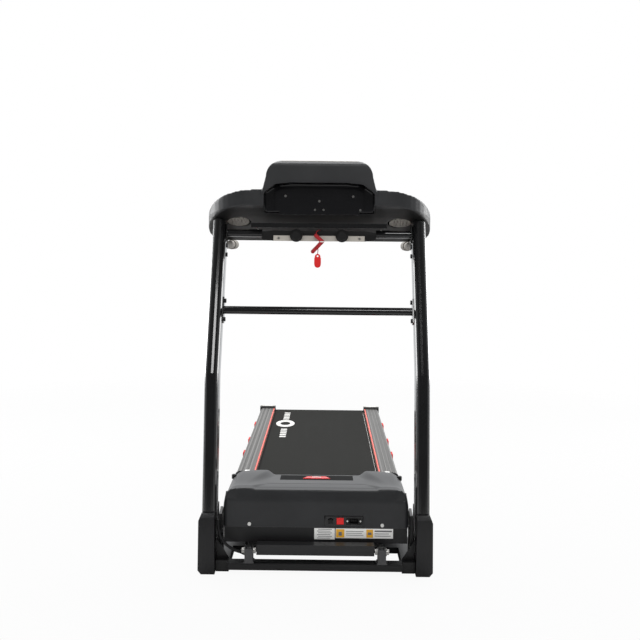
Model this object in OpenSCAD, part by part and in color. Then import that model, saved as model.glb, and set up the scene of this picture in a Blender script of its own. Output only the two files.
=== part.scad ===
// Folding motorised treadmill for the home.
// X runs across the belt, -Y is the motor end, +Y is the end where the runner steps on.
// The origin is at the middle of the footprint, on the floor.

/* [Overall] */
// Whole length along the belt
total_l = 1640; // [1600:10:1700]
// Whole width over the wings of the console
total_w = 760; // [750:2:770]
// Height of the top of the console
total_h = 1279; // [1274:1:1290]

/* [Base] */
// Width of one base boot
boot_w = 52; // [50:1:56]
// Depth of one base boot
boot_d = 130; // [124:2:140]
// Height of one base boot
boot_h = 188; // [180:1:192]
// Height of the base tubes
base_tube_h = 30; // [28:1:31]
// Width of the base rails
base_rail_w = 40; // [36:1:42]
// Thickness of the base crossbars
crossbar_t = 20; // [18:1:22]
// How far back the base rails reach
base_rail_end = -130; // [-180:5:-110]

/* [Uprights] */
// Distance between the centres of the uprights
upright_gap = 660; // [656:1:664]
// Width of the oval upright tube across the machine
upright_w = 45; // [42:1:46]
// Depth of the oval upright tube along the machine
upright_d = 80; // [70:1:84]
// Lean of the lower part of the uprights in degrees
lean_low = 6.3; // [6:0.1:7]
// Lean of the upper part of the uprights in degrees
lean_high = 22; // [21:0.5:23]
// Height of the bend in the uprights
bend_z = 600; // [580:5:620]
// Height of the crossbar between the uprights
crossbar_z = 797; // [780:1:810]

/* [Deck] */
// Width of the running belt
belt_w = 436; // [424:2:438]
// Height of the running surface
belt_z = 190; // [188:1:191]
// Radius of both rollers
roller_r = 21; // [19:0.5:21]
// Place of the front roller's axle
front_roller_y = -560; // [-565:1:-555]
// Place of the rear roller's axle
rear_roller_y = 755; // [745:1:758]
// Outer half width of the side rails
rail_out = 289; // [286:1:290]
// Inner half width of the side rails
rail_in = 227; // [225:1:229]

/* [Motor hood] */
// Front face of the hood
hood_front = -747; // [-748:1:-744]
// Rear edge of the hood
hood_rear = -488; // [-492:1:-480]
// Height of the hood's front edge
hood_top = 246; // [242:1:248]
// Height of the seam under the hood cover
hood_seam = 126; // [122:1:130]

/* [Console] */
// Slope of the console in degrees
console_tilt = 24; // [23:0.5:25]
// Thickness of the console wings, upright
wing_t = 49; // [46:1:50]
// Height of the front top edge of the wings
wing_top = 1187; // [1184:1:1190]
// Half width of the raised middle of the console
visor_hw = 184; // [178:1:186]

/* [Folding] */
// Place of the fold pivot along the machine
pivot_y = -800; // [-802:1:-798]
// Height of the fold pivot
pivot_z = 69; // [68:1:70]
// Running clearance of pins and axles
gap = 0.05; // [0.02:0.01:0.08]

/* [Hidden] */
$fn = 48;

front = -total_l / 2;
rear = total_l / 2;
half_w = total_w / 2;
upright_x = upright_gap / 2;
boot_out = 360;
boot_in = boot_out - boot_w;
rail_base_out = boot_in - 1;
rail_base_in = rail_base_out - base_rail_w;
foot_h = 5;
tube_top = foot_h + base_tube_h;
bracket_x = 204;
bracket_w = 25;
bracket_top = 80;
tongue_w = 14;
bolt_r = 6;
crossbar_y = bend_y(crossbar_z);
upright_foot_y = -768;
upright_foot_z = 60;
upright_end_z = 1078;
slope = tan(console_tilt);
wing_front = -640;
wing_rear = -380;
corner_y = -440;
corner_x = 210;
visor_front = -650;
recess_hw = 176;
recess_back = -592;
visor_rear = -545;
pod_front = -575;
pod_rear = -505;
pod_low = 1022;
pod_high = 1056;
dial_x = 75;
dial_z = 1040;
dial_r = 21;
handrail_x = 317;
handrail_z = 1007.6;
wheel_y = -655;
wheel_r = 22;
wheel_z = 24;
axle_r = 4;
strut_base_y = -650;
strut_base_z = 55;
strut_deck_y = -100;
strut_deck_z = 78;
strut_tilt = atan2(strut_deck_z - strut_base_z, strut_deck_y - strut_base_y);
strut_l = norm([strut_deck_y - strut_base_y, strut_deck_z - strut_base_z]);
cylinder_l = 400;
roller_z = belt_z - 2 - roller_r - 0.3;
pulley_in = 220;
pulley_out = 242;
motor_y = -665;
motor_z = 150;
motor_r = 48;
motor_pulley_r = 17;
roller_pulley_r = 42;
tube_in = 246;
tube_out = 276;
tube_low = 100;
tube_high = 150;
rail_top = 195;
rail_start = -500;
rail_end = 762;
switch_x = 76.5;
hood_screw_x = 208.5;
hood_screw_z = 134;
switch_z = 146;
lanyard_d = 2.4;
cable_d = 9;

// Route of the lanyard from the safety key, under the console and over the pod
lanyard_route = [
    [0, -367, 1036.5], [0, -369, 1024], [0, -382, 1014], [1, -420, 1021], [2, -470, 1036],
    [4, -500, 1056], [4, -540, 1058.5], [0, -572, 1058.5], [-7, -583, 1054], [-10, -586, 1046]
];
// Route of the lanyard from its hank down to the clip
lanyard_tail = [[-2, -586, 1003], [-3, -586, 992], [-4, -586, 980]];
// Bends of the lanyard's tied bundle, seen from the front
hank_bends = [[-10, 1040], [11, 1021], [-20, 988]];
// Route of the console cable from the left boot towards the hood
cable_route = [
    [-302.8, -784, 160], [-301.5, -785, 136], [-294, -786, 106], [-276, -786, 82],
    [-252, -785, 65], [-232, -784, 58]
];

function bend_y(z) = -713 + (z - bend_z) * tan(z > bend_z ? lean_high : lean_low);
function bend_plane(y) = bend_z - (y + 713) * tan((lean_low + lean_high) / 2);
function unit(v) = v / norm(v);
function hood_strip_z(y) = 226 + (hood_rear - y) * (hood_top - 226) / 199;
function slope_z(y) = wing_top - (y - wing_front) * slope;
function curve(p, i, t) =
    let (a = p[max(i - 1, 0)], b = p[i], c = p[i + 1], d = p[min(i + 2, len(p) - 1)])
    0.5 * ((2 * b) + (c - a) * t + (2 * a - 5 * b + 4 * c - d) * t * t
    + (3 * b - a - 3 * c + d) * t * t * t);
function smooth_route(p, steps) = [
    for (i = [0:len(p) - 2])
        for (k = [0:steps - 1]) curve(p, i, k / steps),
    p[len(p) - 1]
];
function ring(c, dir, side, r, n) =
    let (u = unit(cross(dir, side)), v = unit(cross(dir, u)))
    [for (k = [0:n - 1]) c + r * (cos(360 * k / n) * u + sin(360 * k / n) * v)];

// Box between two corners
module block(low, high) {
    translate(low)
        cube(high - low);
}

// Its children on the right, and their mirror images on the left
module both_sides() {
    children();
    mirror([1, 0, 0])
        children();
}

// Cylinder along X between two places
module rod_x(x0, x1, y, z, r) {
    translate([x0, y, z])
        rotate([0, 90, 0])
            cylinder(h = x1 - x0, r = r);
}

// Cylinder along Y between two places
module rod_y(x, y0, y1, z, r) {
    translate([x, y0, z])
        rotate([-90, 0, 0])
            cylinder(h = y1 - y0, r = r);
}

// Side view outline, given as [Y, Z] points, pulled out along X
module side_plate(x0, x1, points) {
    translate([x0, 0, 0])
        rotate([90, 0, 90])
            linear_extrude(x1 - x0)
                polygon(points);
}

// Front view outline, given as [X, Z] points, pulled out along Y
module front_plate(y0, y1, points) {
    translate([0, y1, 0])
        rotate([90, 0, 0])
            linear_extrude(y1 - y0)
                polygon(points);
}

// Round tube along a route
module route_tube(points, d, side, n) {
    last = len(points) - 1;
    rings = [
        for (i = [0:last])
            ring(points[i], points[min(i + 1, last)] - points[max(i - 1, 0)], side, d / 2, n)
    ];
    faces = concat(
        [[for (k = [0:n - 1]) k]],
        [
            for (i = [0:last - 1])
                for (k = [0:n - 1])
                    [i * n + k, (i + 1) * n + k, (i + 1) * n + (k + 1) % n, i * n + (k + 1) % n]
        ],
        [[for (k = [n - 1:-1:0]) last * n + k]]
    );
    polyhedron([for (r = rings) each r], faces);
}

// ---- Base ----

module base_crossbars() {
    low = tube_top - crossbar_t;
    color("#1b1b1c") {
        difference() {
            side_plate(-rail_base_in, rail_base_in, [
                [front, low], [front + 40, low], [front + 40, tube_top], [front + 3, tube_top],
                [front, tube_top - 3]
            ]);
            block([-rail_base_in - 1, front + 3, low + 2], [rail_base_in + 1, front + 38, tube_top - 2]);
        }
        block([-rail_base_in, strut_base_y - 20, low], [rail_base_in, strut_base_y + 20, tube_top]);
        block([-rail_base_in, base_rail_end - 40, low], [rail_base_in, base_rail_end, tube_top]);
        for (x = [-18, 12])
            difference() {
                block([x, strut_base_y - 14, tube_top], [x + 6, strut_base_y + 14, 68]);
                rod_x(x - 1, x + 7, strut_base_y, strut_base_z, 5);
            }
    }
}

module base_rails() {
    color("#1b1b1c")
        both_sides()
            difference() {
                block([rail_base_in, front + 27, foot_h], [rail_base_out, base_rail_end, tube_top]);
                rod_x(rail_base_in - 1, rail_base_out + 1, wheel_y, wheel_z, axle_r + gap);
            }
}

module base_feet() {
    color("#161616")
        both_sides() {
            difference() {
                block([rail_base_in, front + 19, 0], [rail_base_out, front + 27, tube_top + 1]);
                translate([0, front + 19, 0])
                    rotate([-45, 0, 0])
                        block([rail_base_in - 1, -5, -5], [rail_base_out + 1, 5, 4]);
            }
            block([rail_base_in, base_rail_end, 0], [rail_base_out, base_rail_end + 8, tube_top + 1]);
            block([rail_base_in + 4, front + 60, 0], [rail_base_out - 4, front + 130, foot_h]);
            block([rail_base_in + 4, base_rail_end - 60, 0], [rail_base_out - 4, base_rail_end, foot_h]);
        }
}

module pivot_brackets() {
    color("#2b2b2c")
        both_sides()
            translate([bracket_x, 0, 0])
                difference() {
                    union() {
                        block(
                            [-bracket_w / 2, front + 1, tube_top],
                            [bracket_w / 2, front + 5, bracket_top]
                        );
                        block([-bracket_w / 2, front + 5, tube_top], [-8.5, pivot_y + 14, bracket_top]);
                        block([8.5, front + 5, tube_top], [bracket_w / 2, pivot_y + 14, bracket_top]);
                        block(
                            [-bracket_w / 2 - 3, front + 1, tube_top],
                            [bracket_w / 2 + 3, front + 38, tube_top + 4]
                        );
                    }
                    rod_x(-bracket_w, bracket_w, pivot_y, pivot_z, bolt_r);
                }
}

module pivot_bolts() {
    color("silver")
        both_sides()
            translate([bracket_x, 0, 0]) {
                rod_x(-bracket_w / 2, bracket_w / 2, pivot_y, pivot_z, bolt_r);
                rod_x(bracket_w / 2, bracket_w / 2 + 3, pivot_y, pivot_z, 12);
                translate([bracket_w / 2 + 3, pivot_y, pivot_z])
                    rotate([0, 90, 0])
                        cylinder(h = 7, r = 9, $fn = 6);
                translate([-bracket_w / 2 - 8, pivot_y, pivot_z])
                    rotate([0, 90, 0])
                        cylinder(h = 8, r = 9, $fn = 6);
            }
}

// Boot around the foot of one upright, drawn on the right
module boot() {
    difference() {
        front_plate(front, front + boot_d, [
            [boot_in, 0], [boot_out - 10, 0], [boot_out, 12], [boot_out - 2, boot_h - 22],
            [boot_out - 10, boot_h - 2], [boot_in + 2, boot_h - 2], [boot_in + 2, boot_h - 12]
        ]);
        translate([0, front, boot_h - 13])
            rotate([38, 0, 0])
                block([boot_in - 5, -30, 0], [boot_out + 5, 30, 40]);
        intersection() {
            upright_shape(upright_x, 0.2);
            block([0, -1000, 40], [500, 0, 200]);
        }
    }
    rod_x(boot_out - 2.5, boot_out - 0.5, front + 62, 118, 22);
}

module boot_left() {
    color("#202021")
        mirror([1, 0, 0])
            boot();
}

module boot_right() {
    color("#202021")
        boot();
}

module upright_mounts() {
    color("#191919")
        both_sides() {
            side_plate(295, 303, [
                [-760, tube_top], [-692, tube_top], [-690, 110], [-698, 165], [-712, 178],
                [-750, 166], [-760, 155]
            ]);
            front_plate(-775, -771, [[268, tube_top], [boot_in - 0.5, tube_top], [boot_in - 0.5, 97]]);
        }
}

// ---- Uprights ----

// Oval tube shape along the bent line, made wider by a gap
module upright_shape(x, grow) {
    half = upright_w / 2 + grow;
    flat = upright_d - upright_w;
    low_l = (bend_z - upright_foot_z) / cos(lean_low);
    high_l = (upright_end_z - bend_z) / cos(lean_high);
    intersection() {
        translate([x, -713, bend_z])
            rotate([-lean_low, 0, 0])
                translate([0, 0, -low_l])
                    linear_extrude(low_l + 30)
                        oval(half, flat);
        side_plate(0, 500, [[-1000, 0], [0, 0], [0, bend_plane(0)], [-1000, bend_plane(-1000)]]);
    }
    intersection() {
        translate([x, -713, bend_z])
            rotate([-lean_high, 0, 0])
                translate([0, 0, -30])
                    linear_extrude(high_l + 30)
                        oval(half, flat);
        side_plate(0, 500, [[-1000, bend_plane(-1000)], [0, bend_plane(0)], [0, 1400], [-1000, 1400]]);
    }
}

// Oval outline with flat sides
module oval(half, flat) {
    polygon([
        for (s = [-1, 1])
            for (k = [0:10])
                let (a = 18 * k + (s < 0 ? 180 : 0))
                [half * cos(a), s * flat / 2 + half * sin(a)]
    ]);
}

module upright_left() {
    color("#121213")
        mirror([1, 0, 0])
            upright_shape(upright_x, 0);
}

module upright_right() {
    color("#121213")
        upright_shape(upright_x, 0);
}

module mid_crossbar() {
    inner = upright_x - upright_w / 2;
    color("#141415") {
        difference() {
            rod_x(-inner + 4, inner - 4, crossbar_y, crossbar_z, 13);
            rod_x(-inner, inner, crossbar_y, crossbar_z, 11);
        }
        both_sides()
            translate([inner - 4, crossbar_y, crossbar_z])
                rotate([-lean_high, 0, 0])
                    block([0, -16, -40], [4, 16, 40]);
    }
}

module frame_bolts() {
    inner = upright_x - upright_w / 2 - 4;
    color("#3a3a3c")
        both_sides() {
            for (s = [-1, 1]) {
                z = crossbar_z + s * 29;
                translate([inner - 5, crossbar_y + s * 29 * tan(lean_high), z])
                    rotate([0, 90, 0])
                        cylinder(h = 5, r = 7);
            }
            for (z = [975, 1005])
                rod_x(inner - 1, inner + 4, bend_y(z), z, 7);
            for (z = [104, 128])
                rod_x(292.4, 295, -736, z, 8);
            rod_x(rail_base_in, rail_base_out + 36, wheel_y, wheel_z, axle_r);
            rod_x(rail_base_out + 36, rail_base_out + 40, wheel_y, wheel_z, 8);
        }
}

// ---- Transport wheels ----

module wheel() {
    difference() {
        union() {
            rod_x(rail_base_out + 4, rail_base_out + 34, wheel_y, wheel_z, wheel_r);
            rod_x(rail_base_out + 1, rail_base_out + 35, wheel_y, wheel_z, 9);
        }
        rod_x(rail_base_out - 1, rail_base_out + 37, wheel_y, wheel_z, axle_r + gap);
    }
}

module wheel_left() {
    color("#2a2a2a")
        mirror([1, 0, 0])
            wheel();
}

module wheel_right() {
    color("#2a2a2a")
        wheel();
}

// ---- Gas strut ----

// Places its children along the strut, with the base eye at the start
module along_strut() {
    translate([0, strut_base_y, strut_base_z])
        rotate([strut_tilt, 0, 0])
            children();
}

module strut_cylinder() {
    color("#1d1d1f")
        along_strut()
            difference() {
                union() {
                    rod_x(-11, 11, 0, 0, 11);
                    rod_y(0, 9, cylinder_l, 0, 12);
                    rod_x(-18, 18, 0, 0, 5 - gap);
                }
                rod_y(0, 30, cylinder_l + 1, 0, 6);
            }
}

module strut_rod() {
    color("silver")
        along_strut() {
            rod_y(0, cylinder_l - 150, strut_l - 8, 0, 5);
            rod_y(0, cylinder_l - 152, cylinder_l - 144, 0, 5.9);
            rod_x(-10, 10, strut_l, 0, 11);
        }
}

// ---- Console ----

// Plan outline of the console wings
function wing_plan(inset) =
    let (
        a = half_w - corner_x - inset,
        b = corner_y - wing_front - inset,
        steps = 12,
        side = concat(
            [
                for (k = [0:steps])
                    [corner_x + a * sin(90 * k / steps), corner_y - b * cos(90 * k / steps)]
            ],
            [[half_w - 8 - inset, wing_rear - 24], [half_w - 34 - inset, wing_rear - inset]]
        )
    )
    concat(side, [for (k = [len(side) - 1:-1:0]) [-side[k][0], side[k][1]]]);

// Slab between two sloping planes at given depths under the wing's top plane
module sloped_slab(top, bottom) {
    side_plate(-half_w - 1, half_w + 1, [
        [wing_front - 20, slope_z(wing_front - 20) - top],
        [wing_rear + 20, slope_z(wing_rear + 20) - top],
        [wing_rear + 20, slope_z(wing_rear + 20) - bottom],
        [wing_front - 20, slope_z(wing_front - 20) - bottom]
    ]);
}

module wing_solid(inset, top, bottom) {
    intersection() {
        translate([0, 0, 950])
            linear_extrude(400)
                polygon(wing_plan(inset));
        sloped_slab(top, bottom);
    }
}

// Front view outline of the raised middle, with round shoulders
module visor_outline(inset) {
    r = 52;
    top = total_h - inset;
    hw = visor_hw - inset;
    top_hw = hw - 12;
    polygon(concat(
        [[-hw, 1050], [-hw, 1180]],
        [for (k = [0:8]) [-top_hw + r - r * cos(90 * k / 8), top - r + r * sin(90 * k / 8)]],
        [for (k = [8:-1:0]) [top_hw - r + r * cos(90 * k / 8), top - r + r * sin(90 * k / 8)]],
        [[hw, 1180], [hw, 1050]]
    ));
}

module visor_solid(inset) {
    intersection() {
        rotate([90, 0, 0])
            linear_extrude(1000)
                visor_outline(inset);
        side_plate(-visor_hw, visor_hw, [
            [visor_front + inset, slope_z(visor_front) - 20], [visor_front + inset, total_h - 12],
            [visor_front + 14, total_h - inset], [visor_rear - 5, total_h - inset],
            [visor_rear + 55, slope_z(visor_rear + 55) - 5],
            [visor_rear + 55, slope_z(visor_rear + 55) - 20]
        ]);
    }
}

// Notches for the uprights, the back panel's pocket and the loudspeaker holes
module console_shell() {
    color("#2a2b2d")
        difference() {
            union() {
                difference() {
                    union() {
                        wing_solid(0, 0, wing_t);
                        visor_solid(0);
                    }
                    wing_solid(4, 4, wing_t - 4);
                    visor_solid(4);
                }
                intersection() {
                    union() {
                        wing_solid(0, 0, wing_t);
                        visor_solid(0);
                    }
                    recess_solid(4);
                }
            }
            recess_solid(0);
            both_sides() {
                upright_shape(upright_x, 0.2);
                speaker_place()
                    cylinder(h = 60, r = 31, center = true);
            }
            face_pocket(0.2);
            lens_solid(0.2);
        }
}

// Arched recess under the visor's front band
module recess_solid(grow) {
    hw = recess_hw + grow;
    front_plate(visor_front - 5, recess_back + grow, [
        [-hw, 1060], [hw, 1060], [hw, 1178 + grow], [140, 1203 + grow], [90, 1208 + grow],
        [-90, 1208 + grow], [-140, 1203 + grow], [-hw, 1178 + grow]
    ]);
}

// Places its children in the middle of one loudspeaker, on the underside
module speaker_place() {
    translate([262, -520, slope_z(-520) - wing_t])
        rotate([-console_tilt, 0, 0])
            children();
}

module speaker_grilles() {
    color("#b9b3a8")
        both_sides()
            speaker_place()
                difference() {
                    cylinder(h = 4, r = 30.8);
                    for (row = [-2:2])
                        for (i = [-2:2])
                            translate([i * 9, row * 9, -1])
                                cylinder(h = 6, r = 2, $fn = 16);
                }
}

module console_back_panel() {
    color("#0e0f10")
        difference() {
            block([-146, recess_back - 5, 1108], [146, recess_back, 1197]);
            block([-150, recess_back - 8, 1100], [-130, recess_back + 1, 1120]);
            block([130, recess_back - 8, 1100], [150, recess_back + 1, 1120]);
        }
}

// Pocket in the wings for the user's panel
module face_pocket(grow) {
    intersection() {
        block([-300 - grow, -482 - grow, 1000], [300 + grow, wing_rear - 14 + grow, 1300]);
        sloped_slab(-1, 4);
    }
}

module console_face() {
    color("#1a1a1c")
        difference() {
            face_pocket(0);
            for (x = [-150, 150])
                translate([x, -430, slope_z(-430)])
                    rotate([-console_tilt, 0, 0])
                        cylinder(h = 40, r = 17 + 0.4, center = true);
            translate([0, -430, slope_z(-430)])
                rotate([-console_tilt, 0, 0])
                    block([-35.4, -12.4, -20], [35.4, 12.4, 20]);
        }
}

module lens_solid(grow) {
    y0 = visor_rear - 5;
    y1 = visor_rear + 55;
    z1 = slope_z(y1) - 5;
    dy = y1 - y0;
    dz = total_h - z1;
    n = [dz, dy] / norm([dz, dy]);
    a = 0.12 - 0.01 * grow;
    b = 0.8 + 0.01 * grow;
    side_plate(-150 - grow, 150 + grow, [
        [y0 + dy * a, total_h - dz * a] - (3 + grow) * n, [y0 + dy * a, total_h - dz * a] + n,
        [y0 + dy * b, total_h - dz * b] + n, [y0 + dy * b, total_h - dz * b] - (3 + grow) * n
    ]);
}

module display_lens() {
    color("#0a1420")
        lens_solid(0);
}

module handlebar() {
    inner = upright_x - upright_w / 2;
    color("#151517") {
        both_sides() {
            rod_x(189, inner - 3, -540, 1047, 13);
            translate([inner - 3, -540, 1047])
                rotate([-lean_high, 0, 0])
                    block([0, -20, -24], [3, 20, 24]);
        }
        block([-222, -592, 1066], [222, -560, 1080]);
    }
}

module pod_housing() {
    color("#101011")
        difference() {
            front_plate(pod_front, pod_rear, [
                [-188, pod_low + 6], [-150, pod_low], [150, pod_low], [188, pod_low + 6],
                [188, pod_high - 4], [150, pod_high], [-150, pod_high], [-188, pod_high - 4]
            ]);
            block([-151, pod_front - 1, pod_low - 1], [151, pod_front + 4, 1040]);
            for (s = [-1, 1])
                dial_place(s * dial_x)
                    cylinder(h = 40, r = 4 + gap, center = true);
        }
}

module pod_plate() {
    color("#c9c5bd")
        difference() {
            block([-150, pod_front + 1, pod_low], [150, pod_front + 4, 1040]);
            for (s = [-1, 1])
                dial_place(s * dial_x)
                    cylinder(h = 40, r = 4 + gap, center = true);
        }
}

// Places its children on the pod's front, with Z pointing out of it
module dial_place(x) {
    translate([x, pod_front, dial_z])
        rotate([90, 0, 0])
            children();
}

// Round dial with finger grooves on its rim
module dial(x) {
    dial_place(x) {
        difference() {
            union() {
                cylinder(h = 14, r = dial_r);
                translate([0, 0, 14])
                    cylinder(h = 6, r1 = dial_r, r2 = 13);
            }
            for (k = [0:11])
                rotate([0, 0, 30 * k])
                    translate([dial_r + 1.5, 0, 5])
                        cylinder(h = 20, r = 3, $fn = 16);
        }
        translate([0, 0, -16])
            cylinder(h = 16, r = 4);
    }
}

module dial_left() {
    color("#0d0d0e")
        dial(-dial_x);
}

module dial_right() {
    color("#0d0d0e")
        dial(dial_x);
}

module console_screws() {
    color("#8d8d90") {
        for (x = [-110, 110])
            rod_y(x, recess_back - 7, recess_back - 5, 1168, 4);
        for (x = [-14, 14, 134])
            rod_y(x, recess_back - 7, recess_back - 5, 1124, 3.5);
        rod_y(0, recess_back - 7, recess_back - 5, 1152, 4);
        for (x = [-133, 133])
            rod_y(x, pod_front - 1, pod_front + 1, 1031, 3.5);
        both_sides()
            for (x = [210, 320])
                translate([x, -470, slope_z(-470) - wing_t])
                    rotate([-console_tilt, 0, 0])
                        translate([0, 0, -1.5])
                            cylinder(h = 1.5, r = 3.5);
    }
}

// Handrail from the upright's top towards the runner, drawn on the right
module handrail() {
    difference() {
        union() {
            rod_y(handrail_x, -530, -233, handrail_z, 14);
            rod_y(handrail_x, -317, -225, handrail_z, 17);
        }
        upright_shape(upright_x, 0.2);
    }
}

module handrail_left() {
    color("#8f8d88")
        mirror([1, 0, 0])
            handrail();
}

module handrail_right() {
    color("#8f8d88")
        handrail();
}

// Places its children on the user's panel, with Z pointing out of it
module key_place(x) {
    translate([x, -430, slope_z(-430)])
        rotate([-console_tilt, 0, 0])
            children();
}

module button_start() {
    color("#2f8f4a")
        key_place(-150)
            translate([0, 0, -3])
                cylinder(h = 7, r = 17);
}

module button_stop() {
    color("#c4202a")
        key_place(150)
            translate([0, 0, -3])
                cylinder(h = 7, r = 17);
}

module speed_rocker() {
    color("#d7d7d4")
        key_place(0) {
            block([-35, -12, -1], [35, 12, 3]);
            rotate([90, 0, 0])
                cylinder(h = 24.6, r = 2, center = true);
        }
}

module safety_key() {
    color("#c4161c") {
        block([-9, wing_rear + 0.3, 1040], [9, wing_rear + 8, 1054]);
        block([-15, wing_rear + 8, 1037], [15, wing_rear + 15, 1057]);
    }
}

module lanyard_cord() {
    color("#c4161c") {
        route_tube(smooth_route(lanyard_route, 4), lanyard_d, [1, 0, 0], 8);
        route_tube(smooth_route(lanyard_tail, 3), lanyard_d, [1, 0, 0], 8);
    }
}

// Flat bar with round ends between two points
module round_bar(a, b, r) {
    translate(a)
        circle(r);
    translate(b)
        circle(r);
    translate(a)
        rotate(atan2(b[1] - a[1], b[0] - a[0]))
            translate([0, -r])
                square([norm(b - a), 2 * r]);
}

// Outer shape of the tied bundle of the lanyard
module lanyard_hank() {
    color("#c4161c")
        translate([0, -581.5, 0])
            rotate([90, 0, 0])
                linear_extrude(9)
                    union() {
                        round_bar(hank_bends[0], hank_bends[1], 6.5);
                        round_bar(hank_bends[1], hank_bends[2], 6.5);
                    }
}

module lanyard_clip() {
    color("#d01820")
        translate([-4, -583, 0])
            rotate([90, 0, 0])
                linear_extrude(6)
                    difference() {
                        union() {
                            translate([0, 971])
                                circle(9.5);
                            translate([-11, 946])
                                square([22, 22]);
                            translate([0, 945.5])
                                circle(10.5);
                        }
                        translate([0, 973])
                            circle(3);
                    }
}

module console_cable() {
    color("#0c0c0c")
        route_tube(smooth_route(cable_route, 4), cable_d, [0, 1, 0], 12);
}

// ---- Deck ----

module deck_tubes() {
    color("#161616")
        both_sides()
            difference() {
                block([tube_in, -735, tube_low], [tube_out, 790, tube_high]);
                block([tube_in + 2, -736, tube_low + 2], [tube_out - 2, 791, tube_high - 2]);
            }
}

module deck_crossmembers() {
    color("#28282a") {
        block([-182, pivot_y + 5, 53], [182, pivot_y + 37, 85]);
        both_sides() {
            side_plate(140, 150, [
                [pivot_y + 36, 56], [-740, 60], [-704, 88], [-704, 100], [-714, 100], [-738, 75],
                [pivot_y + 36, 75]
            ]);
            difference() {
                union() {
                    rod_x(bracket_x - tongue_w / 2, bracket_x + tongue_w / 2, pivot_y, pivot_z, 13);
                    side_plate(bracket_x - tongue_w / 2, bracket_x + tongue_w / 2, [
                        [pivot_y, pivot_z - 13], [pivot_y + 10, pivot_z - 13], [-740, 62], [-704, 88],
                        [-704, 100], [-714, 100], [-738, 75], [-752, 75],
                        [pivot_y + 8, pivot_z + 13], [pivot_y, pivot_z + 13]
                    ]);
                }
                rod_x(bracket_x - 20, bracket_x + 20, pivot_y, pivot_z, bolt_r + gap);
            }
            block([tube_in, -735, 88], [tube_out, -705, tube_low]);
        }
        block([-tube_in, -735, 88], [tube_in, -705, 100]);
        for (y = [-470, -115, 240, 600])
            block([-tube_in, y, 106], [tube_in, y + 30, 138]);
        for (x = [-18, 14])
            block([x, strut_deck_y - 22, 62], [x + 4, strut_deck_y + 34, 106]);
    }
}

module running_board() {
    color("#3b352c")
        block(
            [-tube_in + 1, front_roller_y + 50, belt_z - 20],
            [tube_in - 1, rear_roller_y - 36, belt_z - 2.3]
        );
}

// Belt around both rollers
module running_belt() {
    inner_r = roller_r + 0.3;
    outer_r = inner_r + 2;
    color("#2c2c2a")
        difference() {
            union() {
                rod_x(-belt_w / 2, belt_w / 2, front_roller_y, roller_z, outer_r);
                rod_x(-belt_w / 2, belt_w / 2, rear_roller_y, roller_z, outer_r);
                block(
                    [-belt_w / 2, front_roller_y, roller_z - outer_r],
                    [belt_w / 2, rear_roller_y, roller_z + outer_r]
                );
            }
            rod_x(-belt_w, belt_w, front_roller_y, roller_z, inner_r);
            rod_x(-belt_w, belt_w, rear_roller_y, roller_z, inner_r);
            block(
                [-belt_w, front_roller_y, roller_z - inner_r],
                [belt_w, rear_roller_y, roller_z + inner_r]
            );
        }
}

// Side rail with two grooves in its tread, drawn on the right
module rail() {
    difference() {
        rail_section();
        for (x = [248, 268])
            block([x, rail_start - 1, rail_top - 1.5], [x + 2.5, rail_end + 1, rail_top + 1]);
    }
}

module rail_section() {
    front_plate(rail_start, rail_end, [
        [rail_in, rail_top - 7], [rail_in, rail_top - 2], [rail_in + 2, rail_top],
        [rail_out - 6, rail_top], [rail_out, rail_top - 6], [rail_out, 112], [rail_out - 4, 112],
        [rail_out - 4, rail_top - 7]
    ]);
}

module rail_left() {
    color("#84837f")
        mirror([1, 0, 0])
            rail();
}

module rail_right() {
    color("#84837f")
        rail();
}

module rail_trims() {
    color("#d8403c")
        both_sides()
            block([rail_in - 5, rail_start, belt_z - 2.3], [rail_in, rail_end, rail_top + 0.5]);
}

module rail_cushions() {
    color("#d0302e")
        both_sides()
            for (y = [-50, 172, 474])
                block([rail_out, y - 22, 152], [rail_out + 8, y + 22, 186]);
}

// Cap over the end of one rail, drawn on the right
module end_cap() {
    difference() {
        side_plate(belt_w / 2 + 2, 294, [
            [rail_end, 98], [rail_end, rail_top + 3], [rail_end + 3, rail_top + 7],
            [rail_end + 12, rail_top + 9], [rear - 10, rail_top + 4], [rear, rail_top - 8],
            [rear, 118], [rear - 14, 98]
        ]);
        block([216, rail_end - 1, 100], [286, rear - 12, 187]);
        rod_x(210, 290, rear_roller_y, roller_z, 9);
    }
    block([232, rear_roller_y + 22, 150], [243, rear_roller_y + 27, 187]);
}

module end_caps() {
    color("#1a1a1b")
        both_sides()
            end_cap();
}

module rear_feet() {
    color("#151515")
        both_sides() {
            translate([261, 700, 0])
                cylinder(h = 14, r = 22);
            translate([261, 700, 14])
                cylinder(h = tube_low - 14, r = 8);
        }
}

// ---- Motor hood ----

module hood_profile(inset) {
    side_plate(-291 + inset, 291 - inset, [
        [hood_front + inset, hood_seam], [hood_front + inset, hood_top - 26],
        [hood_front + 2 + inset, hood_top - 11], [hood_front + 7 + inset, hood_top - 2 - inset],
        [hood_front + 12 + inset, hood_top - inset], [hood_front + 60, hood_top - inset],
        [hood_rear + 1 - inset, 226 - inset], [hood_rear + 1 - inset, 198],
        [hood_rear + 1 - inset, hood_seam]
    ]);
}

// Long strip let into the hood's sloping top, as thick as given
module strip_solid(grow, thick) {
    low_z = hood_strip_z(-598 - grow) - 4.5;
    high_z = hood_strip_z(-503 + grow) - 4.5;
    side_plate(-118 - grow, 118 + grow, [
        [-598 - grow, low_z], [-598 - grow, low_z + thick], [-503 + grow, high_z + thick],
        [-503 + grow, high_z]
    ]);
}

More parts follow.
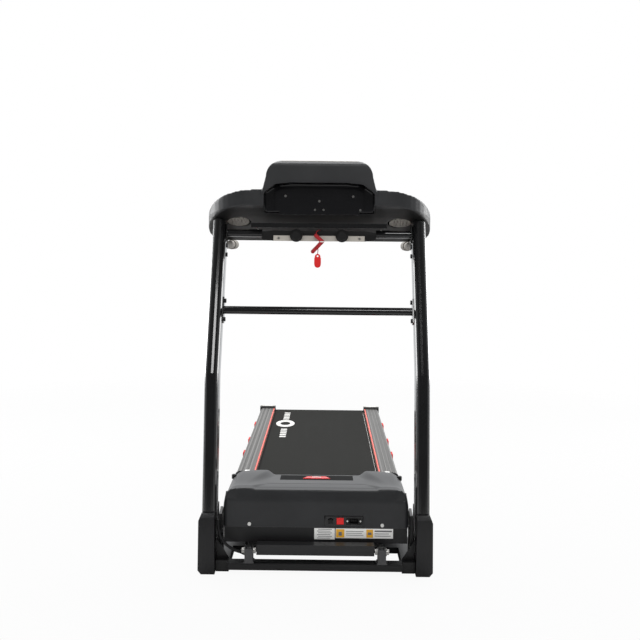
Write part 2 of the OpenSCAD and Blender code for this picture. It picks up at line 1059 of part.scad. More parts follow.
module hood_cover() {
    color("#333436")
        difference() {
            intersection() {
                hood_profile(0);
                front_plate(-1000, 0, [
                    [-291, 0], [291, 0], [291, 192], [286, 220], [270, 246],
                    [-270, 246], [-286, 220], [-291, 192]
                ]);
            }
            intersection() {
                hood_profile(4);
                front_plate(-1000, 0, [
                    [-287, 0], [287, 0], [287, 191], [282, 218], [267, 242],
                    [-267, 242], [-282, 218], [-287, 191]
                ]);
            }
            block([-292, hood_rear - 20, 100], [292, hood_rear + 10, 198]);
            strip_solid(0.5, 12);
            block(
                [switch_x - 50.5, hood_front - 1, switch_z - 17],
                [switch_x + 73, hood_front + 5, switch_z + 17]
            );
            for (x = [-hood_screw_x, hood_screw_x])
                rod_y(x, hood_front - 1, hood_front + 5, hood_screw_z, 2.5);
        }
}

module hood_lower_panel() {
    low = 76;
    color("#232324") {
        block([-288, hood_front + 1, low], [288, hood_front + 4, hood_seam]);
        both_sides()
            difference() {
                block([285, hood_front + 4, low], [288, rail_start - 1, hood_seam]);
                block([284, hood_front + 90, low - 1], [289, rail_start, 96]);
            }
        block([-285, -703, 96], [285, rail_start - 1, 100]);
    }
}

module hood_insert() {
    color("#0d0d0e") {
        strip_solid(0, 5);
        intersection() {
            strip_solid(-2, 8);
            translate([0, -544, 200])
                linear_extrude(60)
                    polygon([[-30, 28], [30, 28], [45, -28], [-45, -28]]);
        }
        difference() {
            block(
                [switch_x - 50, hood_front, switch_z - 16.5],
                [switch_x + 72.5, hood_front + 3, switch_z + 16.5]
            );
            block(
                [switch_x - 11.4, hood_front - 1, switch_z - 11],
                [switch_x + 11.4, hood_front + 4, switch_z + 11]
            );
            block(
                [switch_x + 19.3, hood_front - 1, switch_z - 11],
                [switch_x + 66.7, hood_front + 4, switch_z + 11]
            );
            rod_y(switch_x - 30, hood_front - 1, hood_front + 4, switch_z, 4.3);
        }
    }
}

module hood_screws() {
    color("white") {
        for (x = [-hood_screw_x, hood_screw_x]) {
            rod_y(x, hood_front - 2.5, hood_front, hood_screw_z, 5.5);
            rod_y(x, hood_front, hood_front + 8, hood_screw_z, 2.3);
        }
        for (x = [-20.5, 20.5])
            rod_y(switch_x + 43 + x, hood_front - 1.5, hood_front + 0.5, switch_z, 2.4);
    }
}

module drive_motor() {
    color("#4a4a4c") {
        difference() {
            rod_x(-190, -10, motor_y, motor_z, motor_r);
            rod_x(-191, -100, motor_y, motor_z, 10);
        }
        block([-170, motor_y - 40, 100], [-40, motor_y + 40, 108]);
    }
}

module motor_rotor() {
    color("silver") {
        rod_x(-pulley_out - 2, -110, motor_y, motor_z, 8);
        rod_x(-pulley_out, -pulley_in, motor_y, motor_z, motor_pulley_r);
        rod_x(-212, -197, motor_y, motor_z, 46);
    }
}

// Outline around both pulleys, wider by a gap
function belt_outline(grow) =
    let (
        start = [motor_y, motor_z],
        end = [front_roller_y, roller_z],
        step = end - start,
        along = atan2(step[1], step[0]),
        open = asin((roller_pulley_r - motor_pulley_r) / norm(step)),
        wide = 90 + open
    )
    concat(
        [
            for (k = [0:20])
                let (a = along - wide + 2 * wide * k / 20)
                end + (roller_pulley_r + grow) * [cos(a), sin(a)]
        ],
        [
            for (k = [0:12])
                let (a = along + wide + (360 - 2 * wide) * k / 12)
                start + (motor_pulley_r + grow) * [cos(a), sin(a)]
        ]
    );

module drive_belt() {
    color("#1a1a1a")
        difference() {
            side_plate(-pulley_out + 2, -pulley_in - 2, belt_outline(4.6));
            side_plate(-pulley_out, -pulley_in, belt_outline(0.6));
        }
}

module front_roller() {
    color("#9a9a9c") {
        rod_x(-belt_w / 2 - 1.5, belt_w / 2 + 1.5, front_roller_y, roller_z, roller_r);
        rod_x(-pulley_out, -pulley_in, front_roller_y, roller_z, roller_pulley_r);
        rod_x(-tube_in + 1, tube_in - 1, front_roller_y, roller_z, 8);
    }
}

module rear_roller() {
    color("#9a9a9c") {
        rod_x(-belt_w / 2 - 1.5, belt_w / 2 + 1.5, rear_roller_y, roller_z, roller_r);
        rod_x(-232, 232, rear_roller_y, roller_z, 8);
    }
}

module controller_box() {
    color("#5c5c60") {
        block([70, -715, 100], [200, -625, 122]);
        for (k = [0:10])
            block([74 + 12 * k, -710, 122], [77 + 12 * k, -630, 146]);
    }
}

module inlet_socket() {
    color("#0f0f10")
        difference() {
            block(
                [switch_x + 19.5, hood_front + 0.5, switch_z - 10.8],
                [switch_x + 66.5, hood_front + 24, switch_z + 10.8]
            );
            block(
                [switch_x + 29, hood_front, switch_z - 8],
                [switch_x + 57, hood_front + 16, switch_z + 8]
            );
        }
    color("#0f0f10")
        for (k = [-1:1])
            block(
                [switch_x + 42 + 7 * k, hood_front + 6, switch_z - 3],
                [switch_x + 44 + 7 * k, hood_front + 16, switch_z + 3]
            );
}

module rocker_switch() {
    color("#d11a1c") {
        side_plate(switch_x - 11, switch_x + 11, [
            [hood_front + 3, switch_z - 10], [hood_front - 3, switch_z - 9.6],
            [hood_front - 0.5, switch_z], [hood_front - 1, switch_z + 9.6],
            [hood_front + 3, switch_z + 10], [hood_front + 12, switch_z]
        ]);
        rod_x(switch_x - 11.3, switch_x + 11.3, hood_front + 4, switch_z, 2.5);
    }
}

module breaker_button() {
    color("#141414") {
        rod_y(switch_x - 30, hood_front - 6, hood_front - 2.3, switch_z, 7);
        rod_y(switch_x - 30, hood_front - 2.3, hood_front + 8, switch_z, 4);
    }
}

base_crossbars();
base_rails();
base_feet();
pivot_brackets();
pivot_bolts();
boot_left();
boot_right();
upright_mounts();
upright_left();
upright_right();
mid_crossbar();
frame_bolts();
console_shell();
console_back_panel();
console_face();
display_lens();
speaker_grilles();
handlebar();
pod_housing();
pod_plate();
dial_left();
dial_right();
console_screws();
handrail_left();
handrail_right();
button_start();
button_stop();
speed_rocker();
safety_key();
lanyard_cord();
lanyard_hank();
lanyard_clip();
console_cable();
wheel_left();
wheel_right();
strut_cylinder();
strut_rod();
deck_tubes();
deck_crossmembers();
running_board();
running_belt();
rail_left();
rail_right();
rail_trims();
rail_cushions();
end_caps();
rear_feet();
hood_cover();
hood_lower_panel();
hood_insert();
hood_screws();
drive_motor();
motor_rotor();
drive_belt();
front_roller();
rear_roller();
controller_box();
inlet_socket();
rocker_switch();
breaker_button();
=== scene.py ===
"""Folding treadmill: finished surfaces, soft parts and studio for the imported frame."""

import math

import bpy
from mathutils import Matrix, Vector


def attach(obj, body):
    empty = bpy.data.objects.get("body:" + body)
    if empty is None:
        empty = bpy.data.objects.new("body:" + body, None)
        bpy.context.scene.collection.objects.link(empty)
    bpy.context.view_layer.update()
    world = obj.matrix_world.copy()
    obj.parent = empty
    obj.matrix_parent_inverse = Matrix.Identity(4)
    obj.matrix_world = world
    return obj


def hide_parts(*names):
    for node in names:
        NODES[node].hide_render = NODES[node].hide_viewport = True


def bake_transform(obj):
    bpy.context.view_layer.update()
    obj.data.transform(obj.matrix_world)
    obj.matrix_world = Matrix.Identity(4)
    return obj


bl_info = {
    "name": "Folding treadmill",
    "version": (1, 0, 0),
    "blender": (4, 5, 0),
    "location": "3D View > Sidebar > Treadmill",
    "description": "Finishes the frame of a folding treadmill and sets up its studio",
    "category": "Object",
}

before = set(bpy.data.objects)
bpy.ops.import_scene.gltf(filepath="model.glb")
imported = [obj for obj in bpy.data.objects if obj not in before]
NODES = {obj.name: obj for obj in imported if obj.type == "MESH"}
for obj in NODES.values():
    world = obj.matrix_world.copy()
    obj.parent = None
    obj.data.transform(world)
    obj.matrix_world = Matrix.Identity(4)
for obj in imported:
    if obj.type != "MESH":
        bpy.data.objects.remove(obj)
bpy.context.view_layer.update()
MM = 0.001


# ---- Sizes and colours that a user may change ----

def length_value(name, description, default, low, high):
    return bpy.props.FloatProperty(name=name, description=description, default=default, min=low,
                                   max=high, subtype="DISTANCE", unit="LENGTH")


def colour_value(name, description, default):
    return bpy.props.FloatVectorProperty(name=name, description=description, default=default,
                                         min=0, max=1, subtype="COLOR")


class TreadmillSizes(bpy.types.PropertyGroup):
    """Sizes of the finished pieces"""

    lanyard_thickness: length_value(
        "Lanyard thickness", "Thickness of the safety lanyard", 2.4 * MM, 0.001, 0.005)
    cable_thickness: length_value(
        "Cable thickness", "Thickness of the console cable", 9.0 * MM, 0.004, 0.012)
    console_voxel: length_value(
        "Console grid", "Grid of the moulded console shell", 3.4 * MM, 0.002, 0.008)
    shoulder_rise: length_value(
        "Hood shoulder", "Height of the hood's shoulders over its middle", 14.0 * MM, 0.0, 0.02)


class TreadmillColours(bpy.types.PropertyGroup):
    """Colours of the main finishes"""

    hood_grey: colour_value("Hood", "Moulded cover over the motor", (0.024, 0.025, 0.027))
    console_grey: colour_value("Console", "Moulded shell of the console", (0.030, 0.031, 0.033))
    frame_black: colour_value("Frame", "Painted steel of the uprights and base", (0.0075, 0.0075, 0.008))
    accent_red: colour_value("Accent", "Red cushions, badge and keys", (0.50, 0.020, 0.022))
    rail_grey: colour_value("Rails", "Side rails the runner stands on", (0.115, 0.112, 0.108))
    belt_charcoal: colour_value("Belt", "Running belt", (0.0125, 0.0125, 0.0110))


def sizes():
    return bpy.context.scene.treadmill_sizes


def colours():
    return bpy.context.scene.treadmill_colours


# ---- Shader node groups ----

def new_group(name, inputs, outputs):
    """An empty node group with its sockets, its input node and its output node."""
    group = bpy.data.node_groups.new(name, "ShaderNodeTree")
    for label, kind, value in inputs:
        item = group.interface.new_socket(label, in_out="INPUT", socket_type=kind)
        if value is not None:
            item.default_value = value
    for label, kind in outputs:
        group.interface.new_socket(label, in_out="OUTPUT", socket_type=kind)
    return group, group.nodes.new("NodeGroupInput"), group.nodes.new("NodeGroupOutput")


def node(tree, kind, links=None, **values):
    """A node with its values set and its inputs linked."""
    made = tree.nodes.new(kind)
    for key, value in values.items():
        if hasattr(made, key):
            setattr(made, key, value)
        else:
            made.inputs[key.replace("_", " ")].default_value = value
    for key, source in (links or {}).items():
        tree.links.new(source, made.inputs[key])
    return made


def mapped(tree, value, low, high, to_low=0.0, to_high=1.0):
    """A value moved from one range to another."""
    made = node(tree, "ShaderNodeMapRange", {"Value": value}, From_Min=low, From_Max=high,
                To_Min=to_low, To_Max=to_high)
    return made.outputs["Result"]


def put_out(group, end, **sources):
    """Links the sources to the group's outputs of the same names."""
    for label, source in sources.items():
        group.links.new(source, end.inputs[label])
    return group


def mould_grain_group():
    """Fine spark-eroded grain of moulded plastic, with faint handling marks."""
    name = "Mould grain"
    if name in bpy.data.node_groups:
        return bpy.data.node_groups[name]
    group, start, end = new_group(
        name,
        [("Grain scale", "NodeSocketFloat", 1800.0), ("Grain depth", "NodeSocketFloat", 0.12),
         ("Roughness", "NodeSocketFloat", 0.4), ("Marks", "NodeSocketFloat", 0.08)],
        [("Tone", "NodeSocketFloat"), ("Roughness", "NodeSocketFloat"), ("Normal", "NodeSocketVector")])
    place = node(group, "ShaderNodeTexCoord")
    fine = node(group, "ShaderNodeTexNoise",
                {"Vector": place.outputs["Object"], "Scale": start.outputs["Grain scale"]},
                Detail=2.0, Roughness=0.6)
    bump = node(group, "ShaderNodeBump",
                {"Height": fine.outputs["Fac"], "Strength": start.outputs["Grain depth"]},
                Distance=0.0004)
    cloud = node(group, "ShaderNodeTexNoise", {"Vector": place.outputs["Object"]},
                 Scale=9.0, Detail=5.0, Roughness=0.62)
    swing = node(group, "ShaderNodeMath", {0: cloud.outputs["Fac"]}, operation="SUBTRACT")
    swing.inputs[1].default_value = 0.5
    spread = node(group, "ShaderNodeMath", {0: swing.outputs[0], 1: start.outputs["Marks"]},
                  operation="MULTIPLY")
    rough = node(group, "ShaderNodeMath", {0: start.outputs["Roughness"], 1: spread.outputs[0]},
                 operation="ADD", use_clamp=True)
    tone = node(group, "ShaderNodeMath", {0: fine.outputs["Fac"], 1: cloud.outputs["Fac"]},
                operation="MULTIPLY")
    return put_out(group, end, Tone=tone.outputs[0], Roughness=rough.outputs[0],
                   Normal=bump.outputs["Normal"])


def drawn_lines_group():
    """Fine straight lines along the machine, as on rolled or drawn metal."""
    name = "Drawn lines"
    if name in bpy.data.node_groups:
        return bpy.data.node_groups[name]
    group, start, end = new_group(
        name,
        [("Line scale", "NodeSocketFloat", 900.0), ("Line depth", "NodeSocketFloat", 0.15),
         ("Roughness", "NodeSocketFloat", 0.35), ("Along", "NodeSocketVector", (1.0, 0.006, 1.0))],
        [("Tone", "NodeSocketFloat"), ("Roughness", "NodeSocketFloat"), ("Normal", "NodeSocketVector")])
    place = node(group, "ShaderNodeTexCoord")
    stretch = node(group, "ShaderNodeVectorMath",
                   {0: place.outputs["Object"], 1: start.outputs["Along"]}, operation="MULTIPLY")
    lines = node(group, "ShaderNodeTexNoise",
                 {"Vector": stretch.outputs[0], "Scale": start.outputs["Line scale"]},
                 Detail=3.0, Roughness=0.7)
    bump = node(group, "ShaderNodeBump",
                {"Height": lines.outputs["Fac"], "Strength": start.outputs["Line depth"]},
                Distance=0.0003)
    swing = mapped(group, lines.outputs["Fac"], 0.0, 1.0, -0.07, 0.07)
    rough = node(group, "ShaderNodeMath", {0: start.outputs["Roughness"], 1: swing},
                 operation="ADD", use_clamp=True)
    return put_out(group, end, Tone=lines.outputs["Fac"], Roughness=rough.outputs[0],
                   Normal=bump.outputs["Normal"])


def belt_weave_group():
    """Small raised diamonds of a running belt, with grey scuffs along its length."""
    name = "Belt weave"
    if name in bpy.data.node_groups:
        return bpy.data.node_groups[name]
    group, start, end = new_group(
        name,
        [("Pitch scale", "NodeSocketFloat", 260.0), ("Depth", "NodeSocketFloat", 0.5)],
        [("Tone", "NodeSocketFloat"), ("Scuff", "NodeSocketFloat"), ("Normal", "NodeSocketVector")])
    place = node(group, "ShaderNodeTexCoord")
    turn = node(group, "ShaderNodeMapping", {"Vector": place.outputs["Object"]})
    turn.inputs["Rotation"].default_value = (0.0, 0.0, math.radians(45))
    cells = node(group, "ShaderNodeTexVoronoi",
                 {"Vector": turn.outputs["Vector"], "Scale": start.outputs["Pitch scale"]},
                 feature="F1", distance="CHEBYCHEV", Randomness=0.12)
    bump = node(group, "ShaderNodeBump",
                {"Height": cells.outputs["Distance"], "Strength": start.outputs["Depth"]},
                Distance=0.0006, invert=True)
    stretch = node(group, "ShaderNodeMapping", {"Vector": place.outputs["Object"]})
    stretch.inputs["Scale"].default_value = (14.0, 1.6, 6.0)
    scuff = node(group, "ShaderNodeTexNoise", {"Vector": stretch.outputs["Vector"]},
                 Scale=1.0, Detail=6.0, Roughness=0.65)
    return put_out(group, end, Tone=cells.outputs["Distance"], Scuff=scuff.outputs["Fac"],
                   Normal=bump.outputs["Normal"])


def cord_braid_group():
    """Twisted strands of a thin cord."""
    name = "Cord braid"
    if name in bpy.data.node_groups:
        return bpy.data.node_groups[name]
    group, start, end = new_group(
        name, [("Strand scale", "NodeSocketFloat", 900.0), ("Depth", "NodeSocketFloat", 0.6)],
        [("Tone", "NodeSocketFloat"), ("Normal", "NodeSocketVector")])
    place = node(group, "ShaderNodeTexCoord")
    strands = node(group, "ShaderNodeTexWave",
                   {"Vector": place.outputs["Object"], "Scale": start.outputs["Strand scale"]},
                   bands_direction="DIAGONAL", Distortion=1.5, Detail=1.0)
    bump = node(group, "ShaderNodeBump",
                {"Height": strands.outputs["Fac"], "Strength": start.outputs["Depth"]},
                Distance=0.0005)
    return put_out(group, end, Tone=strands.outputs["Fac"], Normal=bump.outputs["Normal"])


# ---- Materials ----

def start_material(name):
    """A new material with its Principled shader, or the one already made."""
    material = bpy.data.materials.get(name)
    if material is not None:
        return material, None
    material = bpy.data.materials.new(name)
    material.use_nodes = True
    return material, material.node_tree.nodes["Principled BSDF"]


def shade(colour, factor):
    return tuple(min(1.0, c * factor) for c in colour)


def tone_ramp(tree, source, dark, light, low=0.3, high=0.7):
    """A colour between dark and light, led by a varying value."""
    ramp = node(tree, "ShaderNodeValToRGB", {"Fac": source})
    ramp.color_ramp.elements[0].position = low
    ramp.color_ramp.elements[0].color = (*dark, 1.0)
    ramp.color_ramp.elements[1].position = high
    ramp.color_ramp.elements[1].color = (*light, 1.0)
    return ramp.outputs["Color"]


def led_by_group(name, group, settings, dark, light, low=0.3, high=0.7):
    """A material whose colour, roughness and normal are led by a node group."""
    material, shader = start_material(name)
    if shader is None:
        return material, None
    tree = material.node_tree
    made = node(tree, "ShaderNodeGroup", node_tree=group)
    for key, value in settings.items():
        made.inputs[key].default_value = value
    colour_out = tone_ramp(tree, made.outputs["Tone"], dark, light, low, high)
    tree.links.new(colour_out, shader.inputs["Base Color"])
    for key in ("Roughness", "Normal"):
        tree.links.new(made.outputs[key], shader.inputs[key])
    return material, shader


def moulded(name, colour, rough, grain=1800.0, depth=0.12, marks=0.08, spread=0.18, coat=0.0,
            specular=0.5):
    """Moulded plastic or rubber with its own grain."""
    settings = {"Grain scale": grain, "Grain depth": depth, "Roughness": rough, "Marks": marks}
    material, shader = led_by_group(name, mould_grain_group(), settings, shade(colour, 1 - spread),
                                    shade(colour, 1 + spread), 0.12, 0.42)
    if shader is not None:
        shader.inputs["Coat Weight"].default_value = coat
        shader.inputs["Coat Roughness"].default_value = 0.08
        shader.inputs["Specular IOR Level"].default_value = specular
    return material


def metal(name, colour, rough, metallic=1.0, scale=900.0, depth=0.12, along=(1.0, 0.01, 1.0),
          spread=0.15):
    """Bare, plated or anodised metal with drawn lines."""
    settings = {"Line scale": scale, "Line depth": depth, "Roughness": rough, "Along": along}
    material, shader = led_by_group(name, drawn_lines_group(), settings, shade(colour, 1 - spread),
                                    shade(colour, 1 + spread))
    if shader is not None:
        shader.inputs["Metallic"].default_value = metallic
    return material


def belt_material():
    """Woven black rubber of the running belt, with grey scuffs."""
    material, shader = start_material("running_belt_rubber")
    if shader is None:
        return material
    tree = material.node_tree
    weave = node(tree, "ShaderNodeGroup", node_tree=belt_weave_group())
    base = tuple(colours().belt_charcoal)
    dark = tone_ramp(tree, weave.outputs["Tone"], shade(base, 1.25), shade(base, 0.7), 0.1, 0.6)
    scuffed = node(tree, "ShaderNodeMix", data_type="RGBA")
    tree.links.new(dark, scuffed.inputs[6])
    scuffed.inputs[7].default_value = (*shade(base, 1.7), 1.0)
    tree.links.new(mapped(tree, weave.outputs["Scuff"], 0.5, 0.8, 0.0, 0.4), scuffed.inputs[0])
    tree.links.new(scuffed.outputs[2], shader.inputs["Base Color"])
    tree.links.new(mapped(tree, weave.outputs["Scuff"], 0.0, 1.0, 0.74, 0.90),
                   shader.inputs["Roughness"])
    tree.links.new(weave.outputs["Normal"], shader.inputs["Normal"])
    shader.inputs["Specular IOR Level"].default_value = 0.16
    return material


def rail_material():
    """Grey anodised tread of the side rails, with ribs along it whose crests carry a painted highlight."""
    material, shader = start_material("rail_tread")
    if shader is None:
        return material
    tree = material.node_tree
    group = node(tree, "ShaderNodeGroup", node_tree=drawn_lines_group())
    group.inputs["Line scale"].default_value = 420.0
    group.inputs["Line depth"].default_value = 0.2
    group.inputs["Roughness"].default_value = 0.42
    group.inputs["Along"].default_value = (1.0, 0.004, 1.0)
    base = tuple(colours().rail_grey)
    place = node(tree, "ShaderNodeTexCoord")
    parts = node(tree, "ShaderNodeSeparateXYZ", {"Vector": place.outputs["Object"]})
    rib_gap = 0.0165
    ribs = node(tree, "ShaderNodeMath", {0: parts.outputs["X"]}, operation="MULTIPLY")
    ribs.inputs[1].default_value = 2 * math.pi / rib_gap
    wave = node(tree, "ShaderNodeMath", {0: ribs.outputs[0]}, operation="SINE")
    height = node(tree, "ShaderNodeMath", {0: wave.outputs[0], 1: group.outputs["Tone"]},
                  operation="ADD")
    bump = node(tree, "ShaderNodeBump", {"Height": height.outputs[0]}, Strength=0.2,
                Distance=0.0004)
    # Painted highlight: the rib crests are coloured up to 1.75 times lighter than the tread.
    tone = mapped(tree, height.outputs[0], -0.6, 1.6)
    colour_out = tone_ramp(tree, tone, shade(base, 0.85), shade(base, 1.75), 0.72, 0.98)
    tree.links.new(colour_out, shader.inputs["Base Color"])
    tree.links.new(group.outputs["Roughness"], shader.inputs["Roughness"])
    tree.links.new(bump.outputs["Normal"], shader.inputs["Normal"])
    shader.inputs["Metallic"].default_value = 0.2
    return material


def speaker_material():
    """Pale speaker cover with small round holes."""
    material, shader = start_material("speaker_cover")
    if shader is None:
        return material
    tree = material.node_tree
    place = node(tree, "ShaderNodeTexCoord")
    flat = node(tree, "ShaderNodeMapping", {"Vector": place.outputs["Object"]})
    flat.inputs["Scale"].default_value = (1.0, 1.0, 0.0)
    holes = node(tree, "ShaderNodeTexVoronoi", {"Vector": flat.outputs["Vector"]}, Scale=230.0,
                 Randomness=0.0)
    hole = mapped(tree, holes.outputs["Distance"], 0.24, 0.34)
    colour_out = tone_ramp(tree, hole, (0.045, 0.042, 0.038), (0.40, 0.37, 0.33), 0.1, 0.9)
    bump = node(tree, "ShaderNodeBump", {"Height": hole}, Strength=0.8, Distance=0.001)
    tree.links.new(colour_out, shader.inputs["Base Color"])
    tree.links.new(mapped(tree, hole, 0.0, 1.0, 0.9, 0.5), shader.inputs["Roughness"])
    tree.links.new(bump.outputs["Normal"], shader.inputs["Normal"])
    return material


def cord_material(name, colour, scale, rough):
    """Twisted or braided outside of a cord."""
    material, shader = start_material(name)
    if shader is None:
        return material
    tree = material.node_tree
    braid = node(tree, "ShaderNodeGroup", node_tree=cord_braid_group())
    braid.inputs["Strand scale"].default_value = scale
    colour_out = tone_ramp(tree, braid.outputs["Tone"], shade(colour, 0.6), shade(colour, 1.25))
    uneven = mapped(tree, braid.outputs["Tone"], 0.0, 1.0, rough - 0.08, rough + 0.08)
    tree.links.new(colour_out, shader.inputs["Base Color"])
    tree.links.new(uneven, shader.inputs["Roughness"])
    tree.links.new(braid.outputs["Normal"], shader.inputs["Normal"])
    return material


def board_material():
    """Lacquered fibreboard under the belt."""
    settings = {"Grain scale": 420.0, "Grain depth": 0.25, "Roughness": 0.55}
    return led_by_group("deck_board", mould_grain_group(), settings, (0.035, 0.022, 0.013),
                        (0.12, 0.075, 0.04), 0.1, 0.45)[0]


def finishes():
    """Every finish by its own name."""
    black = tuple(colours().frame_black)
    red = tuple(colours().accent_red)
    return {
        "frame_gloss": moulded("frame_gloss", black, 0.17, 700.0, 0.06, 0.08, 0.2, 0.6),
        "frame_satin": moulded("frame_satin", shade(black, 1.1), 0.36, 900.0, 0.16, 0.1),
        "bracket_satin": moulded("bracket_satin", (0.060, 0.060, 0.062), 0.34, 900.0, 0.12, 0.1),
        "beam_grey": moulded("beam_grey", (0.022, 0.022, 0.023), 0.38, 900.0, 0.14, 0.1),
        "boot_plastic": moulded("boot_plastic", (0.0085, 0.0085, 0.0095), 0.40, 1500.0, 0.16),
        "hood_plastic": moulded("hood_plastic", tuple(colours().hood_grey), 0.36, 1600.0, 0.14),
        "panel_plastic": moulded("panel_plastic", (0.011, 0.011, 0.012), 0.42, 1500.0, 0.16),
        "console_plastic": moulded("console_plastic", tuple(colours().console_grey), 0.40, 1700.0, 0.12),
        "gloss_plastic": moulded("gloss_plastic", (0.006, 0.006, 0.007), 0.12, 600.0, 0.03, 0.06, 0.2, 0.4),
        "matt_black": moulded("matt_black", (0.006, 0.006, 0.006), 0.75, 900.0, 0.1, 0.05, 0.2, 0.0, 0.08),
        "soft_black": moulded("soft_black", (0.008, 0.008, 0.008), 0.5, 1200.0, 0.2),
        "rubber_black": moulded("rubber_black", (0.010, 0.010, 0.010), 0.7, 800.0, 0.35, 0.12),
        "grip_foam": moulded("grip_foam", (0.23, 0.215, 0.195), 0.72, 650.0, 0.5, 0.1, 0.25),
        "plate_silver": moulded("plate_silver", (0.46, 0.43, 0.385), 0.34, 1500.0, 0.08, 0.1, 0.1),
        "light_plastic": moulded("light_plastic", (0.52, 0.52, 0.50), 0.38, 1500.0, 0.1),
        "green_plastic": moulded("green_plastic", (0.025, 0.30, 0.075), 0.32, 1500.0, 0.08),
        "red_plastic": moulded("red_plastic", shade(red, 1.15), 0.30, 1500.0, 0.07, 0.08, 0.12, 0.2),
        "red_strip": moulded("red_strip", (0.80, 0.165, 0.135), 0.42, 900.0, 0.12),
        "red_rubber": moulded("red_rubber", shade(red, 1.0), 0.55, 700.0, 0.25),
        "screen_black": moulded("screen_black", (0.004, 0.006, 0.009), 0.07, 300.0, 0.01, 0.05, 0.2, 0.6),
        "label_white": moulded("label_white", (0.84, 0.84, 0.82), 0.45, 900.0, 0.05, 0.06, 0.04),
        "label_amber": moulded("label_amber", (0.78, 0.40, 0.03), 0.45, 900.0, 0.05, 0.06, 0.06),
        "label_grey": moulded("label_grey", (0.16, 0.16, 0.17), 0.45, 900.0, 0.05, 0.06, 0.1),
        "mark_white": moulded("mark_white", (0.62, 0.62, 0.60), 0.55, 500.0, 0.2, 0.1, 0.1),
        "motor_paint": moulded("motor_paint", (0.012, 0.012, 0.013), 0.4, 700.0, 0.2, 0.12),
        "belt": belt_material(),
        "rail": rail_material(),
        "speaker": speaker_material(),
        "board": board_material(),
        "lanyard": cord_material("lanyard_cord_red", (0.46, 0.012, 0.018), 700.0, 0.55),
        "cable": cord_material("cable_jacket", (0.010, 0.010, 0.011), 120.0, 0.42),
        "zinc": metal("zinc_plate", (0.52, 0.51, 0.49), 0.30, 1.0, 500.0, 0.1, (1.0, 1.0, 0.1)),
        "steel": metal("turned_steel", (0.42, 0.42, 0.43), 0.28, 1.0, 700.0, 0.12, (0.02, 1.0, 1.0)),
        "chrome": metal("chrome_rod", (0.60, 0.60, 0.61), 0.12, 1.0, 300.0, 0.03, (1.0, 0.02, 1.0)),
        "dark_bolt": metal("blackened_bolt", (0.055, 0.055, 0.057), 0.32, 0.9, 500.0, 0.1, (1.0, 1.0, 0.2)),
        "heat_sink": metal("heat_sink", (0.30, 0.30, 0.31), 0.40, 1.0, 600.0, 0.15),
    }


CARRIED = {
    "base_crossbars": "frame_satin", "base_rails": "frame_satin", "base_feet": "rubber_black",
    "pivot_brackets": "bracket_satin", "pivot_bolts": "zinc", "boot_left": "boot_plastic",
    "boot_right": "boot_plastic", "upright_mounts": "frame_satin", "upright_left": "frame_gloss",
    "upright_right": "frame_gloss", "mid_crossbar": "frame_gloss", "frame_bolts": "dark_bolt",
    "console_shell": "console_plastic", "console_back_panel": "gloss_plastic",
    "console_face": "gloss_plastic", "display_lens": "screen_black", "speaker_grilles": "speaker",
    "handlebar": "frame_gloss", "pod_housing": "soft_black", "pod_plate": "plate_silver",
    "dial_left": "soft_black", "dial_right": "soft_black", "console_screws": "zinc",
    "handrail_left": "grip_foam", "handrail_right": "grip_foam", "button_start": "green_plastic",
    "button_stop": "red_plastic", "speed_rocker": "light_plastic", "safety_key": "red_plastic",
    "lanyard_cord": "lanyard", "lanyard_hank": "lanyard", "lanyard_clip": "red_plastic",
    "console_cable": "cable", "wheel_left": "rubber_black", "wheel_right": "rubber_black",
    "strut_cylinder": "frame_satin", "strut_rod": "chrome", "deck_tubes": "frame_satin",
    "deck_crossmembers": "beam_grey", "running_board": "board", "running_belt": "belt",
    "rail_left": "rail", "rail_right": "rail", "rail_trims": "red_strip",
    "rail_cushions": "red_rubber", "end_caps": "soft_black", "rear_feet": "rubber_black",
    "hood_cover": "hood_plastic", "hood_lower_panel": "panel_plastic", "hood_insert": "gloss_plastic",
    "hood_screws": "light_plastic", "drive_motor": "motor_paint", "motor_rotor": "steel",
    "drive_belt": "rubber_black", "front_roller": "steel", "rear_roller": "steel",
    "controller_box": "heat_sink", "inlet_socket": "soft_black", "rocker_switch": "red_plastic",
    "breaker_button": "soft_black",
}


# ---- Modelling helpers ----

def clear_selection():
    if bpy.context.object is not None and bpy.context.object.mode != "OBJECT":
        bpy.ops.object.mode_set(mode="OBJECT")
    bpy.ops.object.select_all(action="DESELECT")


def take(obj):
    """Makes obj the only selected and the active object."""
    clear_selection()
    obj.select_set(True)
    bpy.context.view_layer.objects.active = obj
    return obj


def settle_place(obj):
    """Puts the object's place, turn and size into its mesh."""
    take(obj)
    bpy.ops.object.transform_apply(location=True, rotation=True, scale=True)
    return obj


def edit(obj, choose="ALL"):
    take(obj)
    bpy.ops.object.mode_set(mode="EDIT")
    bpy.ops.mesh.select_mode(type="VERT")
    bpy.ops.mesh.select_all(action="SELECT" if choose == "ALL" else "DESELECT")


def block_piece(name, low, high):
    """A block between two corners, in metres."""
    clear_selection()
    low, high = Vector(low), Vector(high)
    bpy.ops.mesh.primitive_cube_add(size=1.0, location=(low + high) / 2)
    obj = bpy.context.object
    obj.name = name
    obj.scale = high - low
    return settle_place(obj)


def round_piece(name, centre, radius, length, axis="Z", sides=40):
    """A round bar with its middle at centre."""
    clear_selection()
    turn = {"X": (0, math.pi / 2, 0), "Y": (math.pi / 2, 0, 0), "Z": (0, 0, 0)}[axis]
    bpy.ops.mesh.primitive_cylinder_add(vertices=sides, radius=radius, depth=length,
                                        location=centre, rotation=turn)
    obj = bpy.context.object
    obj.name = name
    return settle_place(obj)


def apply_modifier(obj, kind, **values):
    """Adds a modifier with its values and applies it."""
    take(obj)
    modifier = obj.modifiers.new(kind.title(), kind)
    for key, value in values.items():
        setattr(modifier, key, value)
    bpy.ops.object.modifier_apply(modifier=modifier.name)


def round_edges(obj, width, segments=3, angle=30.0):
    apply_modifier(obj, "BEVEL", width=width, segments=segments, limit_method="ANGLE",
                   angle_limit=math.radians(angle), use_clamp_overlap=True)


